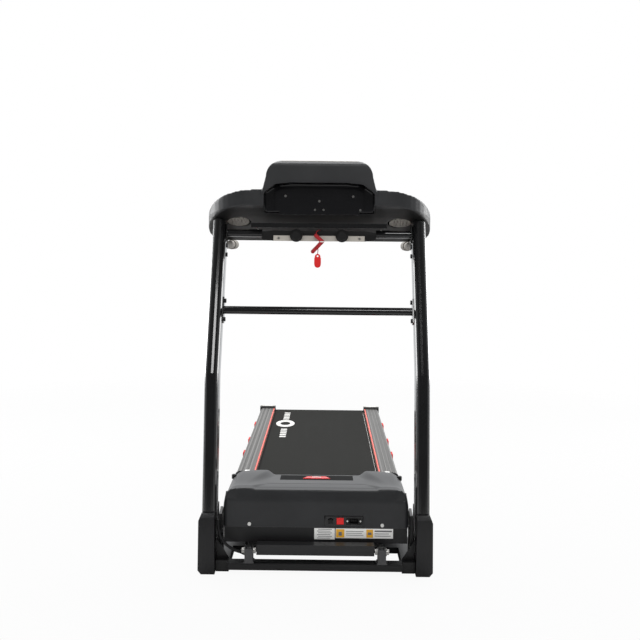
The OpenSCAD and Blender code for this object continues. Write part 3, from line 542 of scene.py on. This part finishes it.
def smooth(obj, angle=35.0):
    take(obj)
    bpy.ops.object.shade_smooth_by_angle(angle=math.radians(angle))


def dress(obj, material, body, replaced=(), angle=35.0):
    """Gives a finished piece its material, its shading and the body it rides on."""
    obj.data.materials.clear()
    obj.data.materials.append(material)
    smooth(obj, angle)
    if replaced:
        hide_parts(*replaced)
    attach(obj, body)
    return obj


def copy_of_node(name, node_name):
    """A merged copy of a frame node's mesh, to be worked on."""
    mesh = NODES[node_name].data.copy()
    obj = bpy.data.objects.new(name, mesh)
    bpy.context.scene.collection.objects.link(obj)
    take(obj)
    if mesh.has_custom_normals:
        bpy.ops.mesh.customdata_custom_splitnormals_clear()
    edit(obj)
    bpy.ops.mesh.remove_doubles(threshold=0.00001)
    bpy.ops.mesh.dissolve_limited(angle_limit=math.radians(0.5))
    bpy.ops.object.mode_set(mode="OBJECT")
    return obj


def drop_vertices(obj, unwanted):
    """Deletes the vertices whose place the test picks."""
    edit(obj, "NONE")
    bpy.ops.object.mode_set(mode="OBJECT")
    for vertex in obj.data.vertices:
        vertex.select = unwanted(vertex.co)
    bpy.ops.object.mode_set(mode="EDIT")
    bpy.ops.mesh.delete(type="VERT")
    bpy.ops.object.mode_set(mode="OBJECT")


def cut_away(obj, tool):
    """Cuts the tool's shape out of obj and throws the tool away."""
    apply_modifier(obj, "BOOLEAN", object=tool, operation="DIFFERENCE", solver="EXACT")
    bpy.data.objects.remove(tool)


def pair_of_blocks(name, across, along, height):
    """Two blocks joined into one piece, one on each side of the machine."""
    made = []
    for side in (-1, 1):
        low, high = sorted((side * across[0], side * across[1]))
        made.append(block_piece(name, (low, along[0], height[0]), (high, along[1], height[1])))
    return joined(name, made)


def joined(name, pieces):
    """The pieces joined into one, under a new name."""
    clear_selection()
    for piece in pieces:
        piece.select_set(True)
    bpy.context.view_layer.objects.active = pieces[0]
    bpy.ops.object.join()
    obj = bpy.context.object
    obj.name = name
    return obj


def ease(low, high, value):
    """A soft step from 0 at low to 1 at high, in either order."""
    t = min(1.0, max(0.0, (value - low) / (high - low)))
    return t * t * (3 - 2 * t)


def rounded_pair(u, v, r):
    """Two distances from two faces, turned over a round edge of radius r."""
    if u < r and v < r:
        du, dv = u - r, v - r
        far = math.hypot(du, dv)
        if far > 1e-9:
            return r + r * du / far, r + r * dv / far
    return u, v


# ---- Cords ----

LANYARD_ROUTE = [
    (0, -367, 1036.5), (0, -369, 1024), (0, -382, 1014), (1, -420, 1021), (2, -470, 1036),
    (4, -500, 1056), (4, -540, 1058.5), (0, -572, 1058.5), (-7, -583, 1054), (-10, -586, 1046),
]
LANYARD_TAIL = [(-2, -586, 1003), (-3, -586, 992), (-4, -586, 980)]
HANK_BENDS = [(-10, 1040), (11, 1021), (-20, 988)]
CABLE_ROUTE = [
    (-302.8, -784, 160), (-301.5, -785, 136), (-294, -786, 106), (-276, -786, 82),
    (-252, -785, 65), (-232, -784, 58),
]
CABLE_END = [
    (-222, -777, 50.5), (-218.5, -762, 45.5), (-218.5, -745, 48), (-219, -731, 58),
    (-219.5, -723, 73), (-220, -720, 89),
]


def smooth_route(points, steps):
    """A smooth line through the points, in the way the frame's cords run."""
    made = []
    for i in range(len(points) - 1):
        a, b = Vector(points[max(i - 1, 0)]), Vector(points[i])
        c, d = Vector(points[i + 1]), Vector(points[min(i + 2, len(points) - 1)])
        for k in range(steps):
            t = k / steps
            made.append(0.5 * ((2 * b) + (c - a) * t + (2 * a - 5 * b + 4 * c - d) * t * t
                               + (3 * b - a - 3 * c + d) * t * t * t))
    made.append(Vector(points[-1]))
    return made


def along_hank(s, side, y):
    """A point on one run of the tied bundle, at distance s down it, on its left or right."""
    bends = [Vector(p) for p in HANK_BENDS]
    first = (bends[1] - bends[0]).length
    second = (bends[2] - bends[1]).length
    u1, u2 = (bends[1] - bends[0]).normalized(), (bends[2] - bends[1]).normalized()
    turn = ease(first - 9.0, first + 9.0, s)
    line = u1.lerp(u2, turn).normalized()
    if s <= first:
        middle = bends[0] + u1 * s
    else:
        middle = bends[1] + u2 * min(s - first, second + 4)
    middle += Vector((-1.6, 0.0)) * max(0.0, 1 - abs(s - first) / 9.0)
    across = Vector((-line.y, line.x))
    place = middle + across * side
    return Vector((place.x, y, place.y))


def lanyard_path():
    """The whole lanyard: over the pod, folded in its bundle, and down to the clip."""
    points = smooth_route(LANYARD_ROUTE, 6)
    length = (Vector(HANK_BENDS[1]) - Vector(HANK_BENDS[0])).length \
        + (Vector(HANK_BENDS[2]) - Vector(HANK_BENDS[1])).length
    half, back, front = 3.6, -586.0, -589.2
    stations = [3 + (length - 5) * k / 16 for k in range(17)]
    points += [along_hank(s, half, back) for s in stations]
    foot_a, foot_b = along_hank(stations[-1], half, back), along_hank(stations[-1], -half, back)
    ahead = (foot_a - along_hank(stations[-2], half, back)).normalized()
    middle = (foot_a + foot_b) / 2
    for k in range(1, 6):
        angle = math.pi * k / 6
        points.append(middle + (foot_a - middle) * math.cos(angle) + ahead * half * math.sin(angle))
    up = list(reversed(stations))
    for s in up:
        points.append(along_hank(s, -half, back + (front - back) * (1 - ease(10.0, 30.0, s))))
    head_a = along_hank(stations[0], -half, front)
    head_b = along_hank(stations[0], half, front)
    above = (head_a - along_hank(stations[1], -half, front)).normalized()
    middle = (head_a + head_b) / 2
    for k in range(1, 6):
        angle = math.pi * k / 6
        points.append(middle + (head_a - middle) * math.cos(angle) + above * half * math.sin(angle))
    leave = 40.0
    points += [along_hank(s, half, front) for s in stations if s < leave]
    last = points[-1]
    tail = [Vector(p) for p in LANYARD_TAIL]
    points += smooth_route([last, tail[0] + Vector((0.3, -1.5, 1.0)), tail[1], tail[2]], 5)[1:]
    return [p * MM for p in points]


def tube_piece(name, points, thickness, sides=5):
    """A round cord along the points, made a mesh."""
    clear_selection()
    line = bpy.data.curves.new(name, "CURVE")
    line.dimensions = "3D"
    spline = line.splines.new("POLY")
    spline.points.add(len(points) - 1)
    for slot, point in zip(spline.points, points):
        slot.co = (*point, 1.0)
    line.bevel_depth = thickness / 2
    line.bevel_resolution = sides
    line.use_fill_caps = True
    obj = bpy.data.objects.new(name, line)
    bpy.context.scene.collection.objects.link(obj)
    take(obj)
    bpy.ops.object.convert(target="MESH")
    return bpy.context.object


def wound_wrap():
    """The outer turns that hold the folded lanyard together, wound across it."""
    wrap = copy_of_node("lanyard_wrap", "lanyard_hank")
    round_edges(wrap, 0.0028, 3, 40.0)
    apply_modifier(wrap, "REMESH", mode="VOXEL", voxel_size=0.0006)
    first, second = (Vector((a, b)) for a, b in HANK_BENDS[:2])
    last = Vector(HANK_BENDS[2])
    for vertex in wrap.data.vertices:
        x, z = vertex.co.x / MM, vertex.co.z / MM
        here = Vector((x, z))
        line = (second - first).normalized() if z > second.y else (last - second).normalized()
        start = first if z > second.y else second
        along = (here - start).dot(line)
        swell = 0.35 * abs(math.sin(math.pi * along / 2.3)) - 0.35
        vertex.co += vertex.normal * swell * MM
    return wrap


class TREADMILL_OT_cords(bpy.types.Operator):
    """Lays the safety lanyard with its tie and clip, and the console cable"""

    bl_idname = "treadmill.cords"
    bl_label = "Cords"

    def execute(self, context):
        finish = finishes()
        path = lanyard_path()
        thick = sizes().lanyard_thickness
        cord = tube_piece("lanyard", path, thick)
        dress(cord, finish["lanyard"], "base", ("lanyard_cord",), 60.0)
        wrap = wound_wrap()
        dress(wrap, finish["lanyard"], "base", ("lanyard_hank",), 60.0)
        tie = round_piece("lanyard_tie", (0.0095, -0.586, 1.0205), 0.0079, 0.0035, "Z", 24)
        round_edges(tie, 0.0012, 3)
        dress(tie, finish["label_white"], "base")
        clip = copy_of_node("lanyard_clip_finished", "lanyard_clip")
        round_edges(clip, 0.0014, 3, 40.0)
        dress(clip, finish["red_plastic"], "base", ("lanyard_clip",))
        route = [p * MM for p in smooth_route(CABLE_ROUTE + CABLE_END, 6)]
        cable = tube_piece("console_cable_finished", route, sizes().cable_thickness, 8)
        cable.data.materials.append(finish["cable"])
        smooth(cable, 60.0)
        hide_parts("console_cable")
        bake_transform(cable)
        return {"FINISHED"}


# ---- Motor hood ----

HOOD_FRONT, HOOD_REAR, HOOD_SEAM = -0.747, -0.487, 0.126
HOOD_HALF = 0.291
HOOD_CUTS = 85
SHELL_WALL = 0.003
PLATE_BELOW = 0.2


def hood_top(x, y):
    """Height of the hood's sculpted top at a place."""
    back = min(1.0, max(0.0, (y - HOOD_FRONT) / (HOOD_REAR - HOOD_FRONT)))
    x = abs(x)
    middle = 0.2455 - 0.0275 * max(0.0, back - 0.12) / 0.88
    inner = 0.205 - 0.060 * ease(0.2, 1.0, back)
    rise = sizes().shoulder_rise * ease(0.18, 0.95, back) + 0.0015
    height = middle + rise * ease(inner, inner + 0.030, x)
    height -= 0.0045 * ease(0.195, 0.280, x) * (0.6 + 0.6 * back)
    panel = 0.200 - 0.034 * ease(-0.728, -0.672, y)
    inside = ease(panel + 0.006, panel - 0.003, x) * ease(-0.668, -0.673, y)
    return height - (0.0012 + 0.0028 * ease(-0.672, -0.735, y)) * inside


def hood_place(x, y, lift=0.0):
    return Vector((x, y, hood_top(x, y) + lift))


def hood_half(z):
    """Half width of the hood at a height."""
    return HOOD_HALF - 0.007 * ease(0.185, 0.240, z)


def sculpted_hood():
    """The hood cover, shaped from a finely cut block."""
    obj = block_piece("hood_cover_finished", (-1, -1, -1), (1, 1, 1))
    edit(obj)
    bpy.ops.mesh.subdivide(number_cuts=HOOD_CUTS)
    bpy.ops.object.mode_set(mode="OBJECT")
    for vertex in obj.data.vertices:
        a, b, c = vertex.co
        b = -1 + 2 * ((b + 1) / 2) ** 1.15
        y = HOOD_FRONT + (b + 1) / 2 * (HOOD_REAR - HOOD_FRONT)
        x = (0.45 * a + 0.55 * math.sin(a * math.pi / 2)) * HOOD_HALF
        top = hood_top(x, y)
        z = HOOD_SEAM + (c + 1) / 2 * (top - HOOD_SEAM)
        x *= hood_half(z) / HOOD_HALF
        down, back = rounded_pair(top - z, y - HOOD_FRONT, 0.005)
        z, y = top - down, HOOD_FRONT + back + 0.006 * ease(0.200, 0.246, z)
        side = hood_half(z)
        down, within = rounded_pair(top - z, side - abs(x), 0.034)
        z, x = top - down, math.copysign(side - within, x)
        front, within = rounded_pair(y - HOOD_FRONT, side - abs(x), 0.012)
        y, x = HOOD_FRONT + front, math.copysign(side - within, x)
        down, ahead = rounded_pair(top - z, HOOD_REAR - y, 0.004)
        z, y = top - down, HOOD_REAR - ahead
        vertex.co = (x, y, z)
    edit(obj, "NONE")
    bpy.ops.object.mode_set(mode="OBJECT")
    for face in obj.data.polygons:
        low = face.normal.z < -0.9 and face.center.z < HOOD_SEAM + 0.004
        rear = face.normal.y > 0.7 and face.center.y > HOOD_REAR - 0.004 and face.center.z < 0.196
        face.select = low or rear
    bpy.ops.object.mode_set(mode="EDIT")
    bpy.ops.mesh.select_mode(type="FACE")
    bpy.ops.mesh.delete(type="FACE")
    bpy.ops.object.mode_set(mode="OBJECT")
    apply_modifier(obj, "SOLIDIFY", thickness=SHELL_WALL, offset=-1.0)
    opening = block_piece("socket_opening", (0.026, -0.76, 0.129), (0.1495, -0.73, 0.163))
    cut_away(obj, opening)
    return obj


def surface_patch(name, outline, steps, lift, thick):
    """A thin piece that lies on the hood's top, inside a four-cornered outline."""
    clear_selection()
    bpy.ops.mesh.primitive_grid_add(x_subdivisions=steps, y_subdivisions=max(4, steps // 2), size=2.0)
    obj = bpy.context.object
    obj.name = name
    (x0, y0), (x1, y1) = outline
    for vertex in obj.data.vertices:
        a, b = vertex.co.x, (vertex.co.y + 1) / 2
        half = x0 + (x1 - x0) * b
        y = y0 + (y1 - y0) * b
        vertex.co = hood_place(a * half, y, lift)
    apply_modifier(obj, "SOLIDIFY", thickness=thick, offset=-1.0)
    return obj


class TREADMILL_OT_hood(bpy.types.Operator):
    """Shapes the motor hood with its shoulders, black strip, red badge and socket plate"""

    bl_idname = "treadmill.hood"
    bl_label = "Motor hood"

    def execute(self, context):
        finish = finishes()
        cover = sculpted_hood()
        dress(cover, finish["hood_plastic"], "deck", ("hood_cover",), 50.0)
        strip = surface_patch("hood_strip", ((0.1215, -0.598), (0.1225, -0.503)), 40, 0.0006, 0.002)
        round_edges(strip, 0.0005, 2, 60.0)
        dress(strip, finish["matt_black"], "deck")
        badge = surface_patch("hood_badge", ((0.0455, -0.573), (0.0310, -0.534)), 16, 0.0030, 0.003)
        round_edges(badge, 0.0012, 3, 60.0)
        dress(badge, finish["red_plastic"], "deck")
        # Painted highlight: a pale bar on the red badge stands in for the glint on its top.
        glint = surface_patch("hood_badge_glint_painted", ((0.016, -0.556), (0.0145, -0.545)), 12, 0.0034, 0.0006)
        dress(glint, finish["mark_white"], "deck")
        plate = copy_of_node("socket_plate", "hood_insert")
        drop_vertices(plate, lambda place: place.z > PLATE_BELOW)
        round_edges(plate, 0.0006, 2, 40.0)
        dress(plate, finish["gloss_plastic"], "deck", ("hood_insert",))
        seam = block_piece("hood_seam_lip", (-0.2885, -0.7466, 0.1240), (0.2885, -0.7432, 0.1262))
        round_edges(seam, 0.0008, 2)
        dress(seam, finish["bracket_satin"], "deck")
        for side, label in ((-1, "left"), (1, "right")):
            knob = round_piece(f"hood_knob_{label}", (side * 0.2810, -0.5220, 0.2190), 0.0085, 0.016)
            round_edges(knob, 0.003, 3)
            dress(knob, finish["soft_black"], "deck")
        return {"FINISHED"}


# ---- Console ----

# The wings' lower edge starts at this height and depth and falls towards the runner
WING_LOW, WING_REAR, WING_FALL = 1.133, -0.640, math.tan(math.radians(12.0))
# Half width and top of the visor's recess, and the depths that its walls lie between
RECESS_HALF, RECESS_TOP, RECESS_FROM, RECESS_TO = 0.1795, 1.2115, -0.6475, -0.583
SPEAKER_MIDDLE, SPEAKER_PIVOT, SPEAKER_WIDER = 0.281, 0.2705, 1.18


class TREADMILL_OT_console(bpy.types.Operator):
    """Moulds the console shell with soft edges and a smooth join between wings and visor"""

    bl_idname = "treadmill.console"
    bl_label = "Console shell"

    def execute(self, context):
        finish = finishes()
        shell = copy_of_node("console_shell_finished", "console_shell")
        apply_modifier(shell, "REMESH", mode="VOXEL", voxel_size=sizes().console_voxel)
        apply_modifier(shell, "SMOOTH", factor=0.5, iterations=5)
        dress(shell, finish["console_plastic"], "base", ("console_shell",), 180.0)
        shell.data.materials.append(finish["gloss_plastic"])
        shell.data.materials.append(finish["soft_black"])
        for face in shell.data.polygons:
            x, y, z = face.center
            under = z < WING_LOW - (y - WING_REAR) * WING_FALL
            inside = abs(x) < RECESS_HALF and z < RECESS_TOP and RECESS_FROM < y < RECESS_TO
            inside = inside and face.normal.z < 0.9
            face.material_index = 1 if inside else 2 if under else 0
        for side, label in ((-1, "left"), (1, "right")):
            grille = copy_of_node(f"speaker_cover_{label}", "speaker_grilles")
            drop_vertices(grille, lambda place: place.x * side < 0)
            for vertex in grille.data.vertices:
                vertex.co.x = side * (SPEAKER_MIDDLE + (abs(vertex.co.x) - SPEAKER_PIVOT) * SPEAKER_WIDER)
            dress(grille, finish["speaker"], "base",
                  ("speaker_grilles",) if side < 0 else ())
        # Painted highlight along the visor's top front edge.
        edge = painted_visor_highlight()
        dress(edge, finish["plate_silver"], "base", (), 40.0)
        return {"FINISHED"}


def painted_visor_highlight():
    """Painted highlight: a thin pale tube along the visor's top front edge, where its lit bevel catches the
    light.
    """
    half, front, top, sag, steps = 0.122, -0.6372, 1.2776, 0.0004, 24
    points = []
    for k in range(steps + 1):
        t = -1 + 2 * k / steps
        points.append((t * half, front, top - sag * abs(t)))
    return tube_piece("visor_painted_highlight", points, 2.2 * MM, 2)


class TREADMILL_OT_moulded_parts(bpy.types.Operator):
    """Rounds the boots, end caps, rail trims, cushions, pod, back panel, brackets and feet"""

    bl_idname = "treadmill.moulded_parts"
    bl_label = "Moulded parts"

    def execute(self, context):
        finish = finishes()
        work = [
            ("boot_left", "base", "black_plastic", 0.004), ("boot_right", "base", "black_plastic", 0.004),
            ("end_caps", "deck", "black_plastic", 0.0025), ("rail_trims", "deck", "red_trim", 0.0012),
            ("rail_cushions", "deck", "red_rubber", 0.003), ("pod_housing", "base", "black_plastic", 0.003),
            ("console_back_panel", "base", "gloss_black", 0.0015),
            ("pivot_brackets", "base", "grey_paint", 0.0015), ("base_feet", "base", "rubber_black", 0.0012),
        ]
        for name, body, slot, width in work:
            obj = copy_of_node(f"{name}_finished", name)
            round_edges(obj, width, 3, 25.0)
            dress(obj, finish[CARRIED[name]], body, (name,))
        return {"FINISHED"}


# ---- Marks and labels ----

BELT_START, BELT_END, BELT_TOP = -0.50, 0.752, 0.1903
PANEL_FRONT = -0.7474


class TREADMILL_OT_marks(bpy.types.Operator):
    """Adds plain labels, the belt's mark and the small details of the deck"""

    bl_idname = "treadmill.marks"
    bl_label = "Marks and labels"

    def execute(self, context):
        finish = finishes()
        front = PANEL_FRONT
        plates = [
            ("label_small", (-0.0045, 0.0600), (0.0870, 0.1225), "label_white", 0.0),
            ("label_wide", (0.0625, 0.2430), (0.0915, 0.1225), "label_white", 0.0),
            ("label_wide_sign_a", (0.0640, 0.0900), (0.0935, 0.1205), "label_amber", 0.0005),
            ("label_wide_sign_b", (0.1590, 0.1800), (0.0940, 0.1200), "label_amber", 0.0005),
        ]
        for name, xs, zs, colour, lift in plates:
            plate = block_piece(name, (xs[0], front + 0.0006 - lift, zs[0]), (xs[1], front + 0.0018, zs[1]))
            round_edges(plate, 0.0004, 2)
            dress(plate, finish[colour], "deck")
        bars = [(0.004 + 0.004 * (k % 2), 0.046 + 0.005 * (k % 2), 0.0905 + 0.0056 * k,
                 0.0921 + 0.0056 * k) for k in range(6)]
        bars += [
            (0.0950, 0.1500, 0.1130, 0.1146), (0.0950, 0.1450, 0.1070, 0.1084),
            (0.0950, 0.1500, 0.1010, 0.1024), (0.1850, 0.2390, 0.1130, 0.1175),
            (0.1850, 0.2300, 0.1060, 0.1078), (0.1850, 0.2350, 0.0990, 0.1008),
            (0.0720, 0.0820, 0.1000, 0.1120), (0.1640, 0.1750, 0.1030, 0.1110),
        ]
        made = []
        for k, (x0, x1, z0, z1) in enumerate(bars):
            bar = block_piece(f"label_bar_{k}", (x0, front - 0.0003, z0), (x1, front + 0.0012, z1))
            made.append(bar)
        lines = joined("label_bars", made)
        round_edges(lines, 0.0002, 1)
        dress(lines, finish["label_grey"], "deck")
        belt_mark(finish)
        deck_details(finish)
        return {"FINISHED"}


def flat_oval(name, place, half_across, half_along, thick):
    """A thin oval that lies flat, with its middle at place."""
    clear_selection()
    bpy.ops.mesh.primitive_cylinder_add(vertices=64, radius=1.0, depth=thick, location=(0, 0, 0))
    obj = bpy.context.object
    obj.name = name
    for vertex in obj.data.vertices:
        vertex.co = (place[0] + vertex.co.x * half_across, place[1] + vertex.co.y * half_along,
                     place[2] + vertex.co.z)
    return obj


def belt_mark(finish):
    """A plain ring printed on the belt, with a row of short bars before and behind it."""
    across, along, thick = -0.1535, 0.442, 0.0005
    bar_half, bar_long, bar_gap = 0.0135, 0.021, 0.034
    ring = flat_oval("belt_ring", (across, along, BELT_TOP), 0.042, 0.071, thick)
    cut_away(ring, flat_oval("ring_hole", (across, along, BELT_TOP), 0.0225, 0.034, 20 * thick))
    bars = [ring]
    for first in (0.176, 0.526):
        for k in range(5):
            y = first + bar_gap * k
            bars.append(block_piece("belt_bar", (across - bar_half, y, BELT_TOP - thick / 2),
                                    (across + bar_half, y + bar_long, BELT_TOP + thick / 2)))
    mark = joined("belt_mark", bars)
    dress(mark, finish["mark_white"], "deck")


def deck_details(finish):
    """Painted shade between the belt and the rails, its pale edge line, the pads on the rails and a painted
    reflection on the caps' tops.
    """
    # Painted shade: thin matt black strips stand in for the shade between the belt and the rails.
    gap_shade = pair_of_blocks("belt_gap_painted_shade", (0.2108, 0.2182), (BELT_START, BELT_END), (0.1890, 0.19015))
    dress(gap_shade, finish["matt_black"], "deck")
    line = block_piece("belt_edge", (0.2118, BELT_START, 0.1893), (0.2130, 0.700, 0.19035))
    round_edges(line, 0.0002, 1)
    dress(line, finish["mark_white"], "deck")
    pads = pair_of_blocks("rail_pads", (0.2430, 0.2605), (-0.435, -0.357), (0.1945, 0.1968))
    round_edges(pads, 0.0008, 2)
    dress(pads, finish["label_white"], "deck")
    cap_start, cap_slope = 0.774, 5.0 / 36.0
    # Painted reflection: a silver rim and a white panel on each cap's top stand in for the bright
    # reflection on its glossy top.
    for name, colour, inset, lift in (("cap_reflection_rims_painted", "plate_silver", 0.0, 0.0007),
                                      ("cap_reflection_panels_painted", "label_white", 0.0105, 0.0011)):
        along = (0.7745 + 0.7 * inset, 0.8105 - 0.7 * inset)
        plates = pair_of_blocks(name, (0.2245 + inset, 0.2905 - inset), along, (0.200, 0.204 + lift))
        for vertex in plates.data.vertices:
            vertex.co.z -= (vertex.co.y - cap_start) * cap_slope
        round_edges(plates, 0.0003, 2)
        dress(plates, finish[colour], "deck")


# ---- Frame finish and stage ----

class TREADMILL_OT_frame_finish(bpy.types.Operator):
    """Gives every part of the frame its own finish"""

    bl_idname = "treadmill.frame_finish"
    bl_label = "Frame finish"

    def execute(self, context):
        finish = finishes()
        missing = sorted(set(NODES) - set(CARRIED))
        if missing:
            raise RuntimeError(f"no finish for {missing}")
        for name, obj in NODES.items():
            if not obj.material_slots:
                obj.data.materials.append(finish[CARRIED[name]])
            for slot in obj.material_slots:
                slot.material = finish[CARRIED[name]]
        return {"FINISHED"}


# Name, place, aim, width, height and power of each soft light
STUDIO_LIGHTS = (
    ("top_light", (0.0, 0.6, 3.0), (0.0, 0.0, 0.3), 2.2, 2.2, 60.0),
    ("left_light", (-2.2, 0.9, 1.4), (0.0, -0.3, 0.8), 0.8, 2.4, 36.0),
    ("right_light", (2.2, 0.9, 1.4), (0.0, -0.3, 0.8), 0.8, 2.4, 36.0),
    ("front_light", (0.4, -4.2, 3.4), (0.0, -0.6, 0.7), 1.2, 0.8, 26.0),
)
# The camera's place in metres, its lens and shift, and its turn, downward tilt and roll in degrees
CAMERA_PLACE = (0.0215, -3.292, 1.0167)
CAMERA_LENS, CAMERA_SHIFT = 46.38, -0.0547
CAMERA_TURN, CAMERA_DOWN, CAMERA_ROLL = 0.353, 2.924, 0.575


def soft_light(name, place, aim, width, height, power):
    """A rectangular area light that faces its aim."""
    lamp = bpy.data.lights.new(name, "AREA")
    lamp.shape = "RECTANGLE"
    lamp.size, lamp.size_y = width, height
    lamp.energy = power
    obj = bpy.data.objects.new(name, lamp)
    obj.location = place
    obj.rotation_euler = (Vector(aim) - Vector(place)).to_track_quat("-Z", "Y").to_euler()
    bpy.context.scene.collection.objects.link(obj)
    return obj


def studio_floor():
    """A pale floor that fades into the pale room behind it."""
    clear_selection()
    bpy.ops.mesh.primitive_plane_add(size=8.0, location=(0.0, 0.0, -0.0006))
    floor = settle_place(bpy.context.object)
    floor.name = "studio_floor"
    material, shader = start_material("studio_floor_paper")
    tree = material.node_tree
    place = node(tree, "ShaderNodeTexCoord")
    cloud = node(tree, "ShaderNodeTexNoise", {"Vector": place.outputs["Object"]}, Scale=1.2, Detail=2.0)
    tree.links.new(tone_ramp(tree, cloud.outputs["Fac"], (0.44, 0.44, 0.44), (0.46, 0.46, 0.46)),
                   shader.inputs["Base Color"])
    shader.inputs["Roughness"].default_value = 0.8
    shader.inputs["Specular IOR Level"].default_value = 0.1
    glow = node(tree, "ShaderNodeEmission", Strength=1.0)
    glow.inputs["Color"].default_value = (1.0, 1.0, 1.0, 1.0)
    rays = node(tree, "ShaderNodeLightPath")
    part = node(tree, "ShaderNodeMath", {0: rays.outputs["Is Camera Ray"]}, operation="MULTIPLY")
    part.inputs[1].default_value = 0.94
    seen = node(tree, "ShaderNodeMixShader", {0: part.outputs[0], 1: shader.outputs[0],
                                              2: glow.outputs[0]})
    far = node(tree, "ShaderNodeVectorMath", {0: place.outputs["Object"]}, operation="LENGTH")
    fade = mapped(tree, far.outputs["Value"], 1.2, 3.2)
    clear = node(tree, "ShaderNodeBsdfTransparent")
    both = node(tree, "ShaderNodeMixShader", {0: fade, 1: seen.outputs[0], 2: clear.outputs[0]})
    out = [n for n in tree.nodes if n.type == "OUTPUT_MATERIAL"][0]
    tree.links.new(both.outputs[0], out.inputs["Surface"])
    floor.data.materials.append(material)
    return floor


def studio_world(scene):
    """A white room that is bright behind and above the machine and dim in front of it."""
    world = bpy.data.worlds.new("studio")
    scene.world = world
    world.use_nodes = True
    tree = world.node_tree
    tree.nodes.clear()
    seen = node(tree, "ShaderNodeBackground", Strength=1.0)
    seen.inputs["Color"].default_value = (1.0, 1.0, 1.0, 1.0)
    way = node(tree, "ShaderNodeTexCoord")
    parts = node(tree, "ShaderNodeSeparateXYZ", {"Vector": way.outputs["Generated"]})
    back = mapped(tree, parts.outputs["Y"], -0.35, 0.55, 0.10, 0.95)
    lit = node(tree, "ShaderNodeBackground", {"Strength": back})
    lit.inputs["Color"].default_value = (0.97, 0.985, 1.0, 1.0)
    even = node(tree, "ShaderNodeBackground", Strength=0.85)
    even.inputs["Color"].default_value = (1.0, 1.0, 1.0, 1.0)
    path = node(tree, "ShaderNodeLightPath")
    soft = node(tree, "ShaderNodeMixShader", {0: path.outputs["Is Diffuse Ray"],
                                              1: lit.outputs[0], 2: even.outputs[0]})
    mix = node(tree, "ShaderNodeMixShader", {0: path.outputs["Is Camera Ray"],
                                             1: soft.outputs[0], 2: seen.outputs[0]})
    out = node(tree, "ShaderNodeOutputWorld", {"Surface": mix.outputs[0]})
    out.is_active_output = True


class TREADMILL_OT_stage(bpy.types.Operator):
    """Sets up the pale floor, the soft studio light and the camera"""

    bl_idname = "treadmill.stage"
    bl_label = "Studio"

    def execute(self, context):
        floor = studio_floor()
        studio_world(context.scene)
        for light in STUDIO_LIGHTS:
            soft_light(*light)
        context.scene.view_settings.view_transform = "Standard"
        camera = bpy.data.cameras.new("view")
        camera.lens = CAMERA_LENS
        camera.sensor_width = 36.0
        camera.shift_y = CAMERA_SHIFT
        camera.clip_start, camera.clip_end = 0.05, 60.0
        obj = bpy.data.objects.new("view", camera)
        turn = Matrix.Rotation(math.radians(CAMERA_TURN), 4, "Z") \
            @ Matrix.Rotation(math.radians(90 - CAMERA_DOWN), 4, "X") \
            @ Matrix.Rotation(math.radians(CAMERA_ROLL), 4, "Z")
        obj.matrix_world = Matrix.Translation(CAMERA_PLACE) @ turn
        context.scene.collection.objects.link(obj)
        context.scene.camera = obj
        return {"FINISHED"}


class TREADMILL_PT_panel(bpy.types.Panel):
    """Shows a button for each step, and the treadmill's sizes and colours"""

    bl_idname = "TREADMILL_PT_panel"
    bl_label = "Folding treadmill"
    bl_space_type = "VIEW_3D"
    bl_region_type = "UI"
    bl_category = "Treadmill"

    def draw(self, context):
        column = self.layout.column(align=True)
        for operator in STEPS:
            column.operator(operator.bl_idname)
        box = self.layout.box()
        for group in (context.scene.treadmill_sizes, context.scene.treadmill_colours):
            for key in group.__annotations__:
                box.prop(group, key)


STEPS = (
    TREADMILL_OT_stage, TREADMILL_OT_cords, TREADMILL_OT_frame_finish, TREADMILL_OT_hood,
    TREADMILL_OT_console, TREADMILL_OT_moulded_parts, TREADMILL_OT_marks,
)
CLASSES = (TreadmillSizes, TreadmillColours, *STEPS, TREADMILL_PT_panel)


def register():
    for kind in CLASSES:
        bpy.utils.register_class(kind)
    bpy.types.Scene.treadmill_sizes = bpy.props.PointerProperty(type=TreadmillSizes)
    bpy.types.Scene.treadmill_colours = bpy.props.PointerProperty(type=TreadmillColours)


def unregister():
    del bpy.types.Scene.treadmill_colours
    del bpy.types.Scene.treadmill_sizes
    for kind in reversed(CLASSES):
        bpy.utils.unregister_class(kind)


def main():
    register()
    for operator in STEPS:
        group, action = operator.bl_idname.split(".")
        getattr(getattr(bpy.ops, group), action)()


if __name__ == "__main__":
    main()
